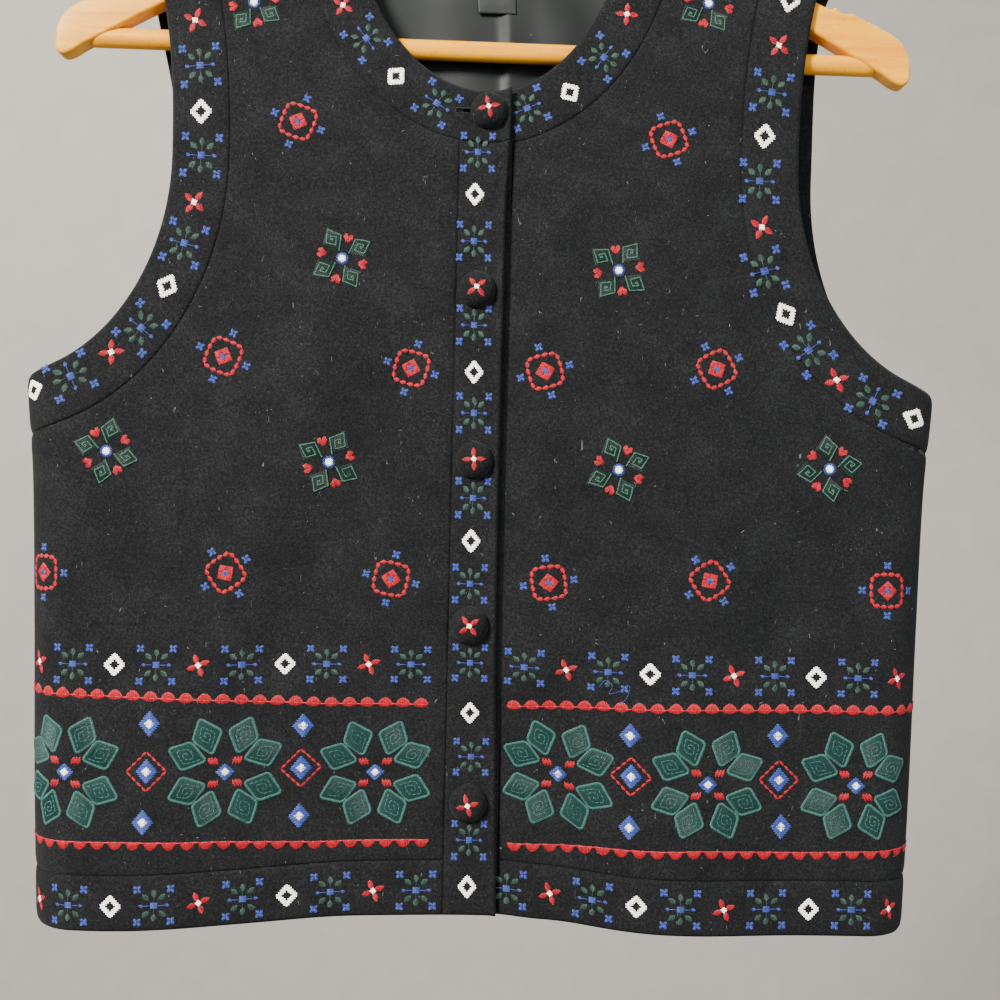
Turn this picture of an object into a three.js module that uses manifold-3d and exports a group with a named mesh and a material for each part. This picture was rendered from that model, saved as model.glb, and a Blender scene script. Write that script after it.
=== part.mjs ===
// An embroidered folk waistcoat of felted wool, buttoned and hanging on a wooden hanger.
//
// Millimetres, +Z up, +X to the viewer's right, and the front faces -Y. The origin is the
// point inside the top of the hook where a rod would touch it.
//
// The garment is drawn on one pattern sheet. A pattern point has two numbers: `across`, the
// distance from the centre line measured along the cloth, and `height`, the level at which
// that point hangs. clothPoint() hangs a pattern point on the hanger: the cloth turns over
// the hanger's ridge at the shoulder, falls, swells, and turns round to the side seam.
// Every piece of cloth is a grid of pattern points made into a closed wall.
import * as THREE from "three";
import { mergeVertices } from "three/addons/utils/BufferGeometryUtils.js";
import Module from "manifold-3d";

const { lerp, smoothstep, degToRad } = THREE.MathUtils;

// Cloth
const WOOL_THICKNESS = 2.4;
const LINING_THICKNESS = 1;
const SEAM_GAP = 0.3;
const LAYER_GAP = 0.45; // between the two overlapping front edges
const LINING_GAP = 0.65;

// The hung body, from the hem up. Depths run from the side seams to the cloth.
const SECTIONS = [
  { height: -640, halfWidth: 224.5, frontDepth: 26, backDepth: 19 },
  { height: -560, halfWidth: 227, frontDepth: 29, backDepth: 21 },
  { height: -470, halfWidth: 229, frontDepth: 30, backDepth: 22 },
  { height: -400, halfWidth: 231.5, frontDepth: 28, backDepth: 20.5 },
  { height: -345, halfWidth: 236, frontDepth: 24.5, backDepth: 18.2 },
  { height: -210, halfWidth: 236.5, frontDepth: 15.5, backDepth: 13 },
  { height: -100, halfWidth: 236.5, frontDepth: 10.5, backDepth: 11 },
];
const SEAM_ACROSS = 246; // the side seam on the pattern sheet
const SIDE_RADIUS = 24; // how far in from the side the cloth starts to turn
const BACK_TWIST = 5.2; // the upper back hangs a little to +X of the front

// Cut lines
const HEM = -628.5;
const HEM_SEAM = -600.8;
const PLACKET_HALF_WIDTH = 13.5;
const UNDER_EDGE = 12; // how far the under front passes the centre line
const LAP = [ // the free edge of the over front, which is drawn in between the buttons and the hem
  { height: HEM, across: 12.9 },
  { height: -560, across: 11.6 },
  { height: -480, across: 10 },
  { height: -400, across: 9.8 },
  { height: -270, across: 10.4 },
  { height: -205, across: 12.4 },
];
const NECK = { halfWidth: 72, frontDepth: 109.8, backDepth: 23.8, bandWidth: 27 };
const ARMHOLE = {
  bottom: -350, // where the free edge meets the side seam
  narrowest: -235, // the level of the narrowest part of the shoulders
  frontScoop: 85.5, // from the side seam in to the narrowest part
  backScoop: 77,
  flare: 20, // how far the edge leans out again above it
  flareHeight: 135,
  bandWidth: 29,
};

// Hanger
const RIDGE = { top: -75, slope: 0.27, curve: 0.00052 }; // its upper edge, seen from the front
const HANGER = { thickness: 12, bevel: 2.5, armHeight: 19.5, neckHeight: 34, tipStart: 210 };
const HANGER_TILT = 0.85; // degrees: the hanger hangs low on its left side
const HANGER_EASE = 3.6; // how far the arm stays below RIDGE inside the shoulders
const TIP = [
  { across: 214.5, height: -157 },
  { across: 219, height: -161 },
  { across: 222, height: -166.5 },
  { across: 223.8, height: -173 },
  { across: 223.8, height: -178 },
  { across: 222.5, height: -181.5 },
  { across: 219.5, height: -183 },
  { across: 215, height: -181.5 },
];
const TIP_LOBE = { from: 160, length: 55, depth: 4 };
const NOTCH = { across: 189.5, radius: 6.1, above: 4.4 };
const BAR = { level: -172.1, radius: 5.2, halfLength: 206 };
const HOOK = { wireRadius: 1.9, innerRadius: 20, joinAngle: -40, seat: -92, straight: -62 };

// The cloth turns over the ridge on this radius, measured at the middle of its thickness.
const WRAP_RADIUS = 9.4;
const WRAP_LENGTH = (WRAP_RADIUS * Math.PI) / 2;
const RIDGE_CLEARANCE = 4.2;
const SHOULDER_FALL = 90; // the length over which the cloth swells out below the ridge

// Buttons: covered domes on short shanks
const BUTTON = { radius: 9.5, height: 7.2, shankRadius: 1.3 };
const BUTTONS = [
  { across: 1, height: -208 }, // on the neck band
  { across: -3, height: -301 },
  { across: -2.5, height: -388 },
  { across: -3, height: -472.5 },
  { across: -2, height: -570 },
];
const BUTTONHOLE = { length: 24, width: 3.2 };

// The largest folds. `rise` is outward, `reach` is the half width of the fold.
const FOLDS = [
  { side: -1, a0: -44, h0: -345, a1: -95, h1: -490, reach: 17, rise: -2.8 },
  { side: -1, a0: -78, h0: -345, a1: -135, h1: -500, reach: 22, rise: 2 },
  { side: -1, a0: -215, h0: -392, a1: -140, h1: -455, reach: 18, rise: -2.2 },
  { side: -1, a0: -170, h0: -640, a1: -150, h1: -540, reach: 46, rise: 5.5 },
  { side: -1, a0: -70, h0: -640, a1: -66, h1: -560, reach: 26, rise: -2.5 },
  { side: -1, a0: 48, h0: -640, a1: 40, h1: -520, reach: 20, rise: -3.5 },
  { side: -1, a0: 112, h0: -640, a1: 104, h1: -520, reach: 38, rise: 5.5 },
  { side: -1, a0: 214, h0: -396, a1: 150, h1: -470, reach: 20, rise: -2.4 },
  { side: -1, a0: 96, h0: -250, a1: 120, h1: -360, reach: 24, rise: 1.8 },
  { side: 1, a0: 0, h0: -240, a1: 4, h1: -430, reach: 22, rise: -2.4 },
  { side: 1, a0: -92, h0: -200, a1: -70, h1: -420, reach: 26, rise: 2.4 },
  { side: 1, a0: 96, h0: -190, a1: 76, h1: -400, reach: 24, rise: 2 },
  { side: 1, a0: -205, h0: -392, a1: -120, h1: -480, reach: 20, rise: -2.4 },
  { side: 1, a0: 205, h0: -392, a1: 130, h1: -470, reach: 20, rise: -2.2 },
  { side: 1, a0: -120, h0: -640, a1: -112, h1: -500, reach: 40, rise: 4 },
  { side: 1, a0: 60, h0: -640, a1: 66, h1: -520, reach: 34, rise: 3.5 },
];

// The three cloth layers. Each hangs a little unevenly near the hem, and `lift` says by how much:
// the fronts rise towards the centre, and the whole left side hangs 3.8 mm high.
const towardsHem = (height) => smoothstep(-height, 430, 600);
const FRONT_RIGHT = {
  side: -1,
  underlap: 0,
  lift: (across, height) => 10.6 * (1 - smoothstep(Math.abs(across), 0, 205)) * towardsHem(height),
};
const FRONT_LEFT = {
  side: -1,
  underlap: WOOL_THICKNESS + LAYER_GAP,
  lift: (across, height) => (11.4 - 7.6 * smoothstep(across, -10, 100)) * towardsHem(height),
};
const BACK = {
  side: 1,
  underlap: 0,
  lift: (across, height) => 3.8 * smoothstep(across, 0, 246) * towardsHem(height),
};

// ---------------------------------------------------------------- hanging the pattern

const ridgeHeight = (across) => RIDGE.top - RIDGE.slope * Math.abs(across) - RIDGE.curve * across ** 2;

// The shoulder seam on the pattern sheet, higher than the ridge by what the turn takes up.
const shoulderHeight = (across) => ridgeHeight(across) + RIDGE_CLEARANCE + WRAP_LENGTH - WRAP_RADIUS;

// A smooth curve through the table of sections.
const sectionCurve = new THREE.CubicInterpolant(
  SECTIONS.map((section) => section.height),
  SECTIONS.flatMap(({ halfWidth, frontDepth, backDepth }) => [halfWidth, frontDepth, backDepth]),
  3,
);

function sectionAt(height) {
  const top = SECTIONS.at(-1).height;
  const [halfWidth, frontDepth, backDepth] = sectionCurve.evaluate(Math.min(height, top));
  return { halfWidth, frontDepth, backDepth };
}

// Each fold is a soft ridge or trough along a line, and fades with the distance from it.
function foldRise(side, across, height) {
  let rise = 0;
  for (const fold of FOLDS.filter((each) => each.side === side)) {
    const [da, dh] = [fold.a1 - fold.a0, fold.h1 - fold.h0];
    const along = ((across - fold.a0) * da + (height - fold.h0) * dh) / (da * da + dh * dh);
    const t = Math.min(1, Math.max(0, along));
    const distance = Math.hypot(across - fold.a0 - t * da, height - fold.h0 - t * dh);
    rise += fold.rise * Math.exp(-((distance / fold.reach) ** 2));
  }
  return rise;
}

// The middle of the cloth's thickness at a pattern point of a layer.
function clothPoint(layer, across, height) {
  const section = sectionAt(height);
  const flat = section.halfWidth - SIDE_RADIUS;
  const turn = (Math.max(0, Math.abs(across) - flat) / (SEAM_ACROSS - flat)) * (Math.PI / 2);
  const x = turn > 0 ? Math.sign(across) * (flat + SIDE_RADIUS * Math.sin(turn)) : across;
  const drop = shoulderHeight(across) - height;
  const full = layer.side < 0 ? section.frontDepth : section.backDepth;
  let depth = lerp(WRAP_RADIUS, full, smoothstep(drop, WRAP_LENGTH, WRAP_LENGTH + SHOULDER_FALL));
  let z = height;
  if (drop < WRAP_LENGTH) {
    const angle = drop / WRAP_RADIUS;
    depth = WRAP_RADIUS * Math.sin(angle);
    z = ridgeHeight(across) + RIDGE_CLEARANCE - WRAP_RADIUS * (1 - Math.cos(angle));
  }
  const below = smoothstep(drop, WRAP_LENGTH, WRAP_LENGTH + SHOULDER_FALL);
  depth += foldRise(layer.side, across, height) * below;
  depth -= layer.underlap * (1 - smoothstep(across, PLACKET_HALF_WIDTH, PLACKET_HALF_WIDTH + 22));
  const twist =
    layer.side < 0
      ? 0
      : BACK_TWIST * smoothstep(height, -380, -290) * below * (1 - smoothstep(Math.abs(across), 190, 240));
  return new THREE.Vector3(x + twist, layer.side * depth * Math.cos(turn), z + layer.lift(across, height));
}

function clothNormal(layer, across, height) {
  const step = 0.5;
  const right = clothPoint(layer, across + step, height).sub(clothPoint(layer, across - step, height));
  const up = clothPoint(layer, across, height + step).sub(clothPoint(layer, across, height - step));
  return right.cross(up).multiplyScalar(-layer.side).normalize();
}

// ---------------------------------------------------------------- solids

const wasm = await Module();
wasm.setup();

function solidOf(geometry) {
  const bare = new THREE.BufferGeometry();
  bare.setAttribute("position", geometry.getAttribute("position").clone());
  bare.setIndex(geometry.getIndex());
  const merged = mergeVertices(bare, 1e-4);
  return new wasm.Manifold(
    new wasm.Mesh({
      numProp: 3,
      vertProperties: new Float32Array(merged.getAttribute("position").array),
      triVerts: new Uint32Array(merged.getIndex().array),
    }),
  );
}

function geometryOf(solid) {
  const { numProp, vertProperties, triVerts } = solid.getMesh();
  const points = Array.from({ length: vertProperties.length / numProp }, (_, i) =>
    vertProperties.slice(i * numProp, i * numProp + 3),
  );
  const geometry = new THREE.BufferGeometry();
  geometry.setAttribute("position", new THREE.Float32BufferAttribute(points.flatMap((p) => [...p]), 3));
  geometry.setIndex([...triVerts]);
  return geometry;
}

function signedVolume(points, index) {
  let volume = 0;
  for (let i = 0; i < index.length; i += 3) {
    const [a, b, c] = [points[index[i]], points[index[i + 1]], points[index[i + 2]]];
    volume += a.dot(new THREE.Vector3().crossVectors(b, c)) / 6;
  }
  return volume;
}

// A closed wall between two grids of points of one size, with its four edges joined.
function wallGeometry(outer, inner) {
  const [rows, columns] = [outer.length, outer[0].length];
  const other = rows * columns; // the index of the first inner point
  const index = [];
  const quad = (a, b, c, d) => index.push(a, b, c, a, c, d);
  for (let r = 0; r < rows - 1; r++)
    for (let c = 0; c < columns - 1; c++) {
      const o = r * columns + c;
      quad(o, o + 1, o + columns + 1, o + columns);
      quad(other + o, other + o + columns, other + o + columns + 1, other + o + 1);
    }
  for (let c = 0; c < columns - 1; c++) {
    const last = (rows - 1) * columns + c;
    quad(c + 1, c, other + c, other + c + 1);
    quad(last, last + 1, other + last + 1, other + last);
  }
  for (let r = 0; r < rows - 1; r++) {
    const first = r * columns;
    const last = first + columns - 1;
    quad(first, first + columns, other + first + columns, other + first);
    quad(last + columns, last, other + last, other + last + columns);
  }
  const points = [...outer.flat(), ...inner.flat()];
  if (signedVolume(points, index) < 0) index.reverse();
  const geometry = new THREE.BufferGeometry().setFromPoints(points);
  geometry.setIndex(index);
  return geometry;
}

// A wall of cloth over a grid of pattern points. `offset` moves it along the outward normal.
function clothWall(layer, grid, thickness = WOOL_THICKNESS, offset = 0) {
  const face = (shift) =>
    grid.map((row) =>
      row.map(({ x, y }) => clothPoint(layer, x, y).addScaledVector(clothNormal(layer, x, y), offset + shift)),
    );
  return wallGeometry(face(thickness / 2), face(-thickness / 2));
}

// ---------------------------------------------------------------- curves on the pattern

const DENSE = 400; // points on a curve before the few that are used are picked from it
const WRAP_STEPS = [1, 0.66, 0.33, 0];

// The curve moved sideways by `distance`, to its right as it is followed.
function offsetCurve(curve, distance) {
  return curve.map((point, i) => {
    const ahead = curve[Math.min(i + 1, curve.length - 1)];
    const behind = curve[Math.max(i - 1, 0)];
    const along = ahead.clone().sub(behind).normalize();
    return point.clone().add(new THREE.Vector2(along.y, -along.x).multiplyScalar(distance));
  });
}

function pointAt(curve, position) {
  const i = Math.min(Math.floor(position), curve.length - 2);
  return curve[i].clone().lerp(curve[i + 1], position - i);
}

// The position, as a fractional index, where the curve is `drop` below the shoulder seam.
function positionAtDrop(curve, drop) {
  const excess = ({ x, y }) => shoulderHeight(x) - y - drop;
  const i = curve.findIndex((point) => excess(point) <= 0);
  const [before, after] = [excess(curve[i - 1]), excess(curve[i])];
  return i - 1 + before / (before - after);
}

// Points up the curve, closest at its start, and then close ones where the shoulder turns.
function toShoulder(curve, steps, grading) {
  const bend = positionAtDrop(curve, WRAP_LENGTH);
  const even = Array.from({ length: steps }, (_, i) => pointAt(curve, bend * (i / steps) ** grading));
  const turn = WRAP_STEPS.map((share) =>
    pointAt(curve, positionAtDrop(curve, Math.max(share * WRAP_LENGTH, SEAM_GAP / 2))),
  );
  return [...even, ...turn];
}

// The armhole's free edge on the +X half, from the side seam up past the shoulder.
function armholeEdge(scoop) {
  const inner = SEAM_ACROSS - scoop;
  const height = ARMHOLE.narrowest - ARMHOLE.bottom;
  const path = new THREE.CurvePath();
  path.add(
    new THREE.EllipseCurve(SEAM_ACROSS, ARMHOLE.narrowest, scoop, height, -Math.PI / 2, -Math.PI, true),
  );
  path.add(
    new THREE.QuadraticBezierCurve(
      new THREE.Vector2(inner, ARMHOLE.narrowest),
      new THREE.Vector2(inner, ARMHOLE.narrowest + ARMHOLE.flareHeight / 2),
      new THREE.Vector2(inner + ARMHOLE.flare, ARMHOLE.narrowest + ARMHOLE.flareHeight),
    ),
  );
  return path.getSpacedPoints(DENSE);
}

// The neckline, from a little before the centre line up past the +X shoulder.
function neckEdge(depth) {
  const top = shoulderHeight(NECK.halfWidth);
  const path = new THREE.CurvePath();
  path.add(new THREE.EllipseCurve(0, top, NECK.halfWidth, depth, -0.62 * Math.PI, 0, false));
  path.add(
    new THREE.LineCurve(
      new THREE.Vector2(NECK.halfWidth, top),
      new THREE.Vector2(NECK.halfWidth, top + NECK.bandWidth),
    ),
  );
  return path.getSpacedPoints(DENSE);
}

const HALF_GAP = SEAM_GAP / 2;
const ARMHOLE_STEPS = 14;
const ARMHOLE_GRADING = 1.5; // the armhole starts on the turn of the side, which needs close steps
const NECK_STEPS = 7;

// The part of a curve after it crosses a line of one `across`.
function clipped(curve, across) {
  const i = curve.findIndex((point) => point.x > across);
  const [before, after] = [curve[i - 1], curve[i]];
  const t = (across - before.x) / (after.x - before.x);
  return [new THREE.Vector2(across, lerp(before.y, after.y, t)), ...curve.slice(i)];
}

// An armhole band lies to the left of its edge as that is followed upward, a neck band to the right.
const armholeCurve = (scoop, distance) =>
  toShoulder(offsetCurve(armholeEdge(scoop), -distance), ARMHOLE_STEPS, ARMHOLE_GRADING).map(
    ({ x, y }) => new THREE.Vector2(Math.min(x, SEAM_ACROSS - HALF_GAP), y),
  );
// `starts` are the lines it crosses first, and its own steps begin on the last of them.
function neckCurve(depth, starts, distance) {
  const curve = offsetCurve(neckEdge(depth), distance);
  const crossings = starts.map((across) => clipped(curve, across));
  return [...crossings.slice(0, -1).map((part) => part[0]), ...toShoulder(crossings.at(-1), NECK_STEPS, 1)];
}

const mirror = (grid) => grid.map((row) => row.map(({ x, y }) => new THREE.Vector2(-x, y)));
const forHand = (grid, hand) => (hand < 0 ? mirror(grid) : grid);

// Straight rows between two curves of the same number of points, with a point at each share.
function between(first, second, shares) {
  return first.map((start, i) => shares.map((share) => start.clone().lerp(second[i], share)));
}

// Even steps along a line on the pattern, without its last point.
function line(from, to, steps) {
  return Array.from({ length: steps }, (_, i) => from.clone().lerp(to, i / steps));
}

// ---------------------------------------------------------------- the pattern pieces

const SIDE_STEPS = 6;
const BAND_SHARES = [0, 0.5, 1];
const PANEL_SHARES = [0, 0.12, 0.24, 0.36, 0.48, 0.6, 0.72, 0.84, 0.89, 0.94, 0.97, 1];

// The outer edge of a main panel: up the side seam, then round the armhole seam.
function panelOuterEdge(scoop) {
  const armholeSeam = armholeCurve(scoop, ARMHOLE.bandWidth + HALF_GAP);
  const hemCorner = new THREE.Vector2(SEAM_ACROSS - HALF_GAP, HEM_SEAM + HALF_GAP);
  return [...line(hemCorner, armholeSeam[0], SIDE_STEPS), ...armholeSeam];
}

// The inner edge of a main panel: up a straight line at `across`, then round the neck seam.
function panelInnerEdge(neckDepth, across, count) {
  const neckSeam = neckCurve(neckDepth, [across], NECK.bandWidth + HALF_GAP);
  const hemCorner = new THREE.Vector2(across, HEM_SEAM + HALF_GAP);
  return [...line(hemCorner, neckSeam[0], count - neckSeam.length), ...neckSeam];
}

function panelGrid(neckDepth, scoop, across) {
  const outer = panelOuterEdge(scoop);
  return between(panelInnerEdge(neckDepth, across, outer.length), outer, PANEL_SHARES);
}

function armholeBandGrid(scoop) {
  return between(armholeCurve(scoop, 0), armholeCurve(scoop, ARMHOLE.bandWidth - HALF_GAP), BAND_SHARES);
}

// A neck band from the first of the lines up to the shoulder seam.
function neckBandGrid(depth, starts) {
  const seam = neckCurve(depth, starts, NECK.bandWidth - HALF_GAP);
  return between(neckCurve(depth, starts, 0), seam, BAND_SHARES);
}

// A straight strip of the pattern between two lines of heights, from one `across` to another.
const evenly = (from, to, steps) => Array.from({ length: steps + 1 }, (_, i) => lerp(from, to, i / steps));

function stripGrid(from, to, heights, cells) {
  return heights.map((height) => evenly(from, to, cells).map((across) => new THREE.Vector2(across, height)));
}

const hemBandGrid = (from) =>
  evenly(HEM, HEM_SEAM - HALF_GAP, 2).map((height) =>
    PANEL_SHARES.map((share) => new THREE.Vector2(lerp(from, SEAM_ACROSS - HALF_GAP, share), height)),
  );

// A placket strip: its top follows the neck seam, with a wider gap because that seam is curved.
function placketGrid(from, to) {
  const neckSeam = offsetCurve(neckEdge(NECK.frontDepth), NECK.bandWidth);
  return evenly(0, 1, 14).map((share) =>
    evenly(from, to, 4).map((across) => {
      const top = clipped(neckSeam, across)[0].y - 1.5 * SEAM_GAP;
      return new THREE.Vector2(across, lerp(HEM, top, share));
    }),
  );
}

function lapEdge(height) {
  const i = Math.max(1, LAP.findIndex((row) => row.height >= height));
  const [low, high] = [LAP[i - 1], LAP[i]];
  return lerp(low.across, high.across, smoothstep(height, low.height, high.height));
}

// A grid of the over front with the part past the centre line narrowed to the lap.
const lapped = (grid) =>
  grid.map((row) =>
    row.map(({ x, y }) => new THREE.Vector2(x > 0 ? (x * lapEdge(y)) / PLACKET_HALF_WIDTH : x, y)),
  );

// ---------------------------------------------------------------- materials

const wool = new THREE.MeshStandardMaterial({ color: 0x232323, roughness: 0.95, metalness: 0 });
const satin = new THREE.MeshStandardMaterial({ color: 0x3f4747, roughness: 0.45, metalness: 0 });
const whiteTape = new THREE.MeshStandardMaterial({ color: 0xe6e4dc, roughness: 0.7, metalness: 0 });
const darkTape = new THREE.MeshStandardMaterial({ color: 0x1a1c1c, roughness: 0.5, metalness: 0 });
const beech = new THREE.MeshStandardMaterial({ color: 0xe3bd86, roughness: 0.45, metalness: 0 });
const steel = new THREE.MeshStandardMaterial({ color: 0xc9cacc, roughness: 0.25, metalness: 1 });

const waistcoat = new THREE.Group();

function addPiece(name, geometry, material) {
  const mesh = new THREE.Mesh(geometry, material);
  mesh.name = name;
  waistcoat.add(mesh);
  return mesh;
}

// ---------------------------------------------------------------- cloth pieces

const frontPanel = panelGrid(NECK.frontDepth, ARMHOLE.frontScoop, PLACKET_HALF_WIDTH + HALF_GAP);
const backPanel = panelGrid(NECK.backDepth, ARMHOLE.backScoop, 0);

addPiece("front_right", clothWall(FRONT_RIGHT, mirror(frontPanel)), wool);
addPiece("front_left", clothWall(FRONT_LEFT, frontPanel), wool);
addPiece("back", joined(clothWall(BACK, mirror(backPanel)), clothWall(BACK, backPanel)), wool);

function joined(first, second) {
  return geometryOf(solidOf(first).add(solidOf(second)));
}

for (const { hand, name, front } of [
  { hand: -1, name: "right", front: FRONT_RIGHT },
  { hand: 1, name: "left", front: FRONT_LEFT },
]) {
  const frontBand = forHand(armholeBandGrid(ARMHOLE.frontScoop), hand);
  const backBand = forHand(armholeBandGrid(ARMHOLE.backScoop), hand);
  addPiece(`armhole_band_${name}_front`, clothWall(front, frontBand), wool);
  addPiece(`armhole_band_${name}_back`, clothWall(BACK, backBand), wool);
  const hemBand = hemBandGrid(PLACKET_HALF_WIDTH + HALF_GAP);
  addPiece(`hem_band_${name}`, clothWall(front, forHand(hemBand, hand)), wool);
}
const hemBandBack = hemBandGrid(0).map((row) => [...mirror([row.slice(1)])[0].reverse(), ...row]);
addPiece("hem_band_back", clothWall(BACK, hemBandBack), wool);

const neckBandBack = neckBandGrid(NECK.backDepth, [0]);
addPiece("neck_band_back", clothWall(BACK, [...mirror(neckBandBack).reverse(), ...neckBandBack.slice(1)]), wool);
addPiece("neck_band_left", clothWall(FRONT_LEFT, neckBandGrid(NECK.frontDepth, [-UNDER_EDGE, 0, PLACKET_HALF_WIDTH + HALF_GAP])), wool);
addPiece("placket_left", clothWall(FRONT_LEFT, placketGrid(-UNDER_EDGE, PLACKET_HALF_WIDTH - HALF_GAP)), wool);

// ---------------------------------------------------------------- buttons and buttonholes

// A slot through the over layer. The top one is horizontal and ends at its button.
function buttonhole(i) {
  const upright = i > 0;
  const size = [BUTTONHOLE.width, BUTTONHOLE.length];
  const [wide, tall] = upright ? size : [...size].reverse();
  const ease = (BUTTONHOLE.length - BUTTONHOLE.width) / 2;
  const across = BUTTONS[i].across - (upright ? 0 : ease);
  const height = BUTTONS[i].height + (upright ? ease : 0);
  const slot = new THREE.BoxGeometry(wide, 6 * WOOL_THICKNESS, tall);
  const centre = clothPoint(FRONT_RIGHT, across, height);
  return slot.translate(centre.x, centre.y, centre.z);
}

function withButtonholes(geometry, which) {
  const cut = which.reduce((solid, i) => solid.subtract(solidOf(buttonhole(i))), solidOf(geometry));
  return geometryOf(cut);
}

const overPlacket = clothWall(FRONT_RIGHT, lapped(placketGrid(HALF_GAP - PLACKET_HALF_WIDTH, PLACKET_HALF_WIDTH)));
addPiece("placket_right", withButtonholes(overPlacket, [1, 2, 3, 4]), wool);
const neckBandStarts = [-PLACKET_HALF_WIDTH, 0, PLACKET_HALF_WIDTH + HALF_GAP];
const overNeckBand = clothWall(FRONT_RIGHT, lapped(mirror(neckBandGrid(NECK.frontDepth, neckBandStarts))));
addPiece("neck_band_right", withButtonholes(overNeckBand, [0]), wool);

// A covered dome. Its shank passes the buttonhole and stops just above the under layer.
function buttonGeometry() {
  const shank = WOOL_THICKNESS + LAYER_GAP;
  const { radius, height, shankRadius } = BUTTON;
  const profile = [
    [0, -shank],
    [shankRadius, -shank],
    [shankRadius, 0],
    [0.9 * radius, 0],
    [radius, 0.2 * height],
    [0.97 * radius, 0.45 * height],
    [0.78 * radius, 0.78 * height],
    [0.45 * radius, 0.95 * height],
    [0, height],
  ];
  return new THREE.LatheGeometry(profile.map(([r, y]) => new THREE.Vector2(r, y)), 18);
}

BUTTONS.forEach(({ across, height }, i) => {
  const button = addPiece(`button_${i + 1}`, buttonGeometry(), wool);
  const normal = clothNormal(FRONT_RIGHT, across, height);
  button.position
    .copy(clothPoint(FRONT_RIGHT, across, height))
    .addScaledVector(normal, WOOL_THICKNESS / 2 + SEAM_GAP);
  button.quaternion.setFromUnitVectors(new THREE.Vector3(0, 1, 0), normal);
});

// ---------------------------------------------------------------- lining and labels

const liningOffset = -(WOOL_THICKNESS / 2 + LINING_GAP + LINING_THICKNESS / 2);
const liningRows = backPanel.slice(0, 1 - WRAP_STEPS.length); // it ends where the shoulder turns
const liningWall = (grid) => clothWall(BACK, grid, LINING_THICKNESS, liningOffset);
addPiece("back_lining", joined(liningWall(mirror(liningRows)), liningWall(liningRows)), satin);

const LABEL = { halfWidth: 10, top: -116, bottom: -137, tabHeight: 9 };
const labelGrid = (top, bottom) =>
  stripGrid(-LABEL.halfWidth, LABEL.halfWidth, evenly(bottom, top, 2), 2);
const labelWall = (top, bottom, offset) => clothWall(BACK, labelGrid(top, bottom), LINING_THICKNESS, offset);
addPiece("neck_label", labelWall(LABEL.top, LABEL.bottom, liningOffset), whiteTape);
const tabTop = LABEL.bottom - 3;
const tabOffset = liningOffset - LINING_THICKNESS - LINING_GAP;
addPiece("neck_tab", labelWall(tabTop, tabTop - LABEL.tabHeight, tabOffset), darkTape);

// ---------------------------------------------------------------- hanger

// The lower edge of an arm: an even height, deeper at the neck and at the lobe near the tip.
function armBottom(x) {
  const lobe = TIP_LOBE.depth * smoothstep(x, TIP_LOBE.from, TIP_LOBE.from + TIP_LOBE.length);
  const neck = (HANGER.neckHeight - HANGER.armHeight) * (1 - smoothstep(x, 0, 70));
  return ridgeHeight(x) - HANGER.armHeight - lobe - neck;
}

const armTop = (x) => ridgeHeight(x) - HANGER_EASE * smoothstep(x, 40, 135) * (1 - smoothstep(x, 180, 186));

function hangerOutline() {
  const stations = [...evenly(0, 180, 12), ...evenly(186, HANGER.tipStart, 3)];
  const upper = stations.map((x) => [x, armTop(x)]);
  const lower = evenly(HANGER.tipStart, 0, 12).map((x) => [x, armBottom(x)]);
  const half = [...upper, ...TIP.map(({ across, height }) => [across, height]), ...lower];
  const whole = [...half, ...half.slice(1, -1).map(([x, z]) => [-x, z]).reverse()];
  return new THREE.Shape(whole.map(([x, z]) => new THREE.Vector2(x, z)));
}

// A rod along one axis, used for the trouser bar and to cut its sockets and the strap notches.
const rod = (radius, length, segments) => new THREE.CylinderGeometry(radius, radius, length, segments);
const alongX = (geometry) => geometry.rotateZ(Math.PI / 2);

function hangerBody() {
  const { thickness, bevel } = HANGER;
  const flat = new THREE.ExtrudeGeometry(hangerOutline(), {
    depth: thickness - 2 * bevel,
    bevelSize: bevel,
    bevelOffset: -bevel,
    bevelThickness: bevel,
    bevelSegments: 3,
    steps: 1,
  });
  flat.translate(0, 0, bevel - thickness / 2);
  flat.rotateX(Math.PI / 2);
  const socket = alongX(rod(BAR.radius + SEAM_GAP, 2 * (BAR.halfLength + SEAM_GAP), 20));
  const seat = rod(HOOK.wireRadius + SEAM_GAP, 2 * (RIDGE.top - HOOK.seat), 12).rotateX(Math.PI / 2);
  const cuts = [socket.translate(0, 0, BAR.level), seat.translate(0, 0, RIDGE.top)];
  for (const hand of [-1, 1]) {
    const notch = rod(NOTCH.radius, 2 * thickness, 14);
    cuts.push(notch.translate(hand * NOTCH.across, 0, ridgeHeight(NOTCH.across) + NOTCH.above));
  }
  return geometryOf(cuts.reduce((solid, cut) => solid.subtract(solidOf(cut)), solidOf(flat)));
}

// The whole hanger is tilted about the point where its hook meets the rod.
const tilted = (geometry) => geometry.rotateY(degToRad(HANGER_TILT));

addPiece("hanger_body", tilted(hangerBody()), beech);
const bar = alongX(rod(BAR.radius, 2 * BAR.halfLength, 20)).translate(0, 0, BAR.level);
addPiece("hanger_bar", tilted(bar), beech);

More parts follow.
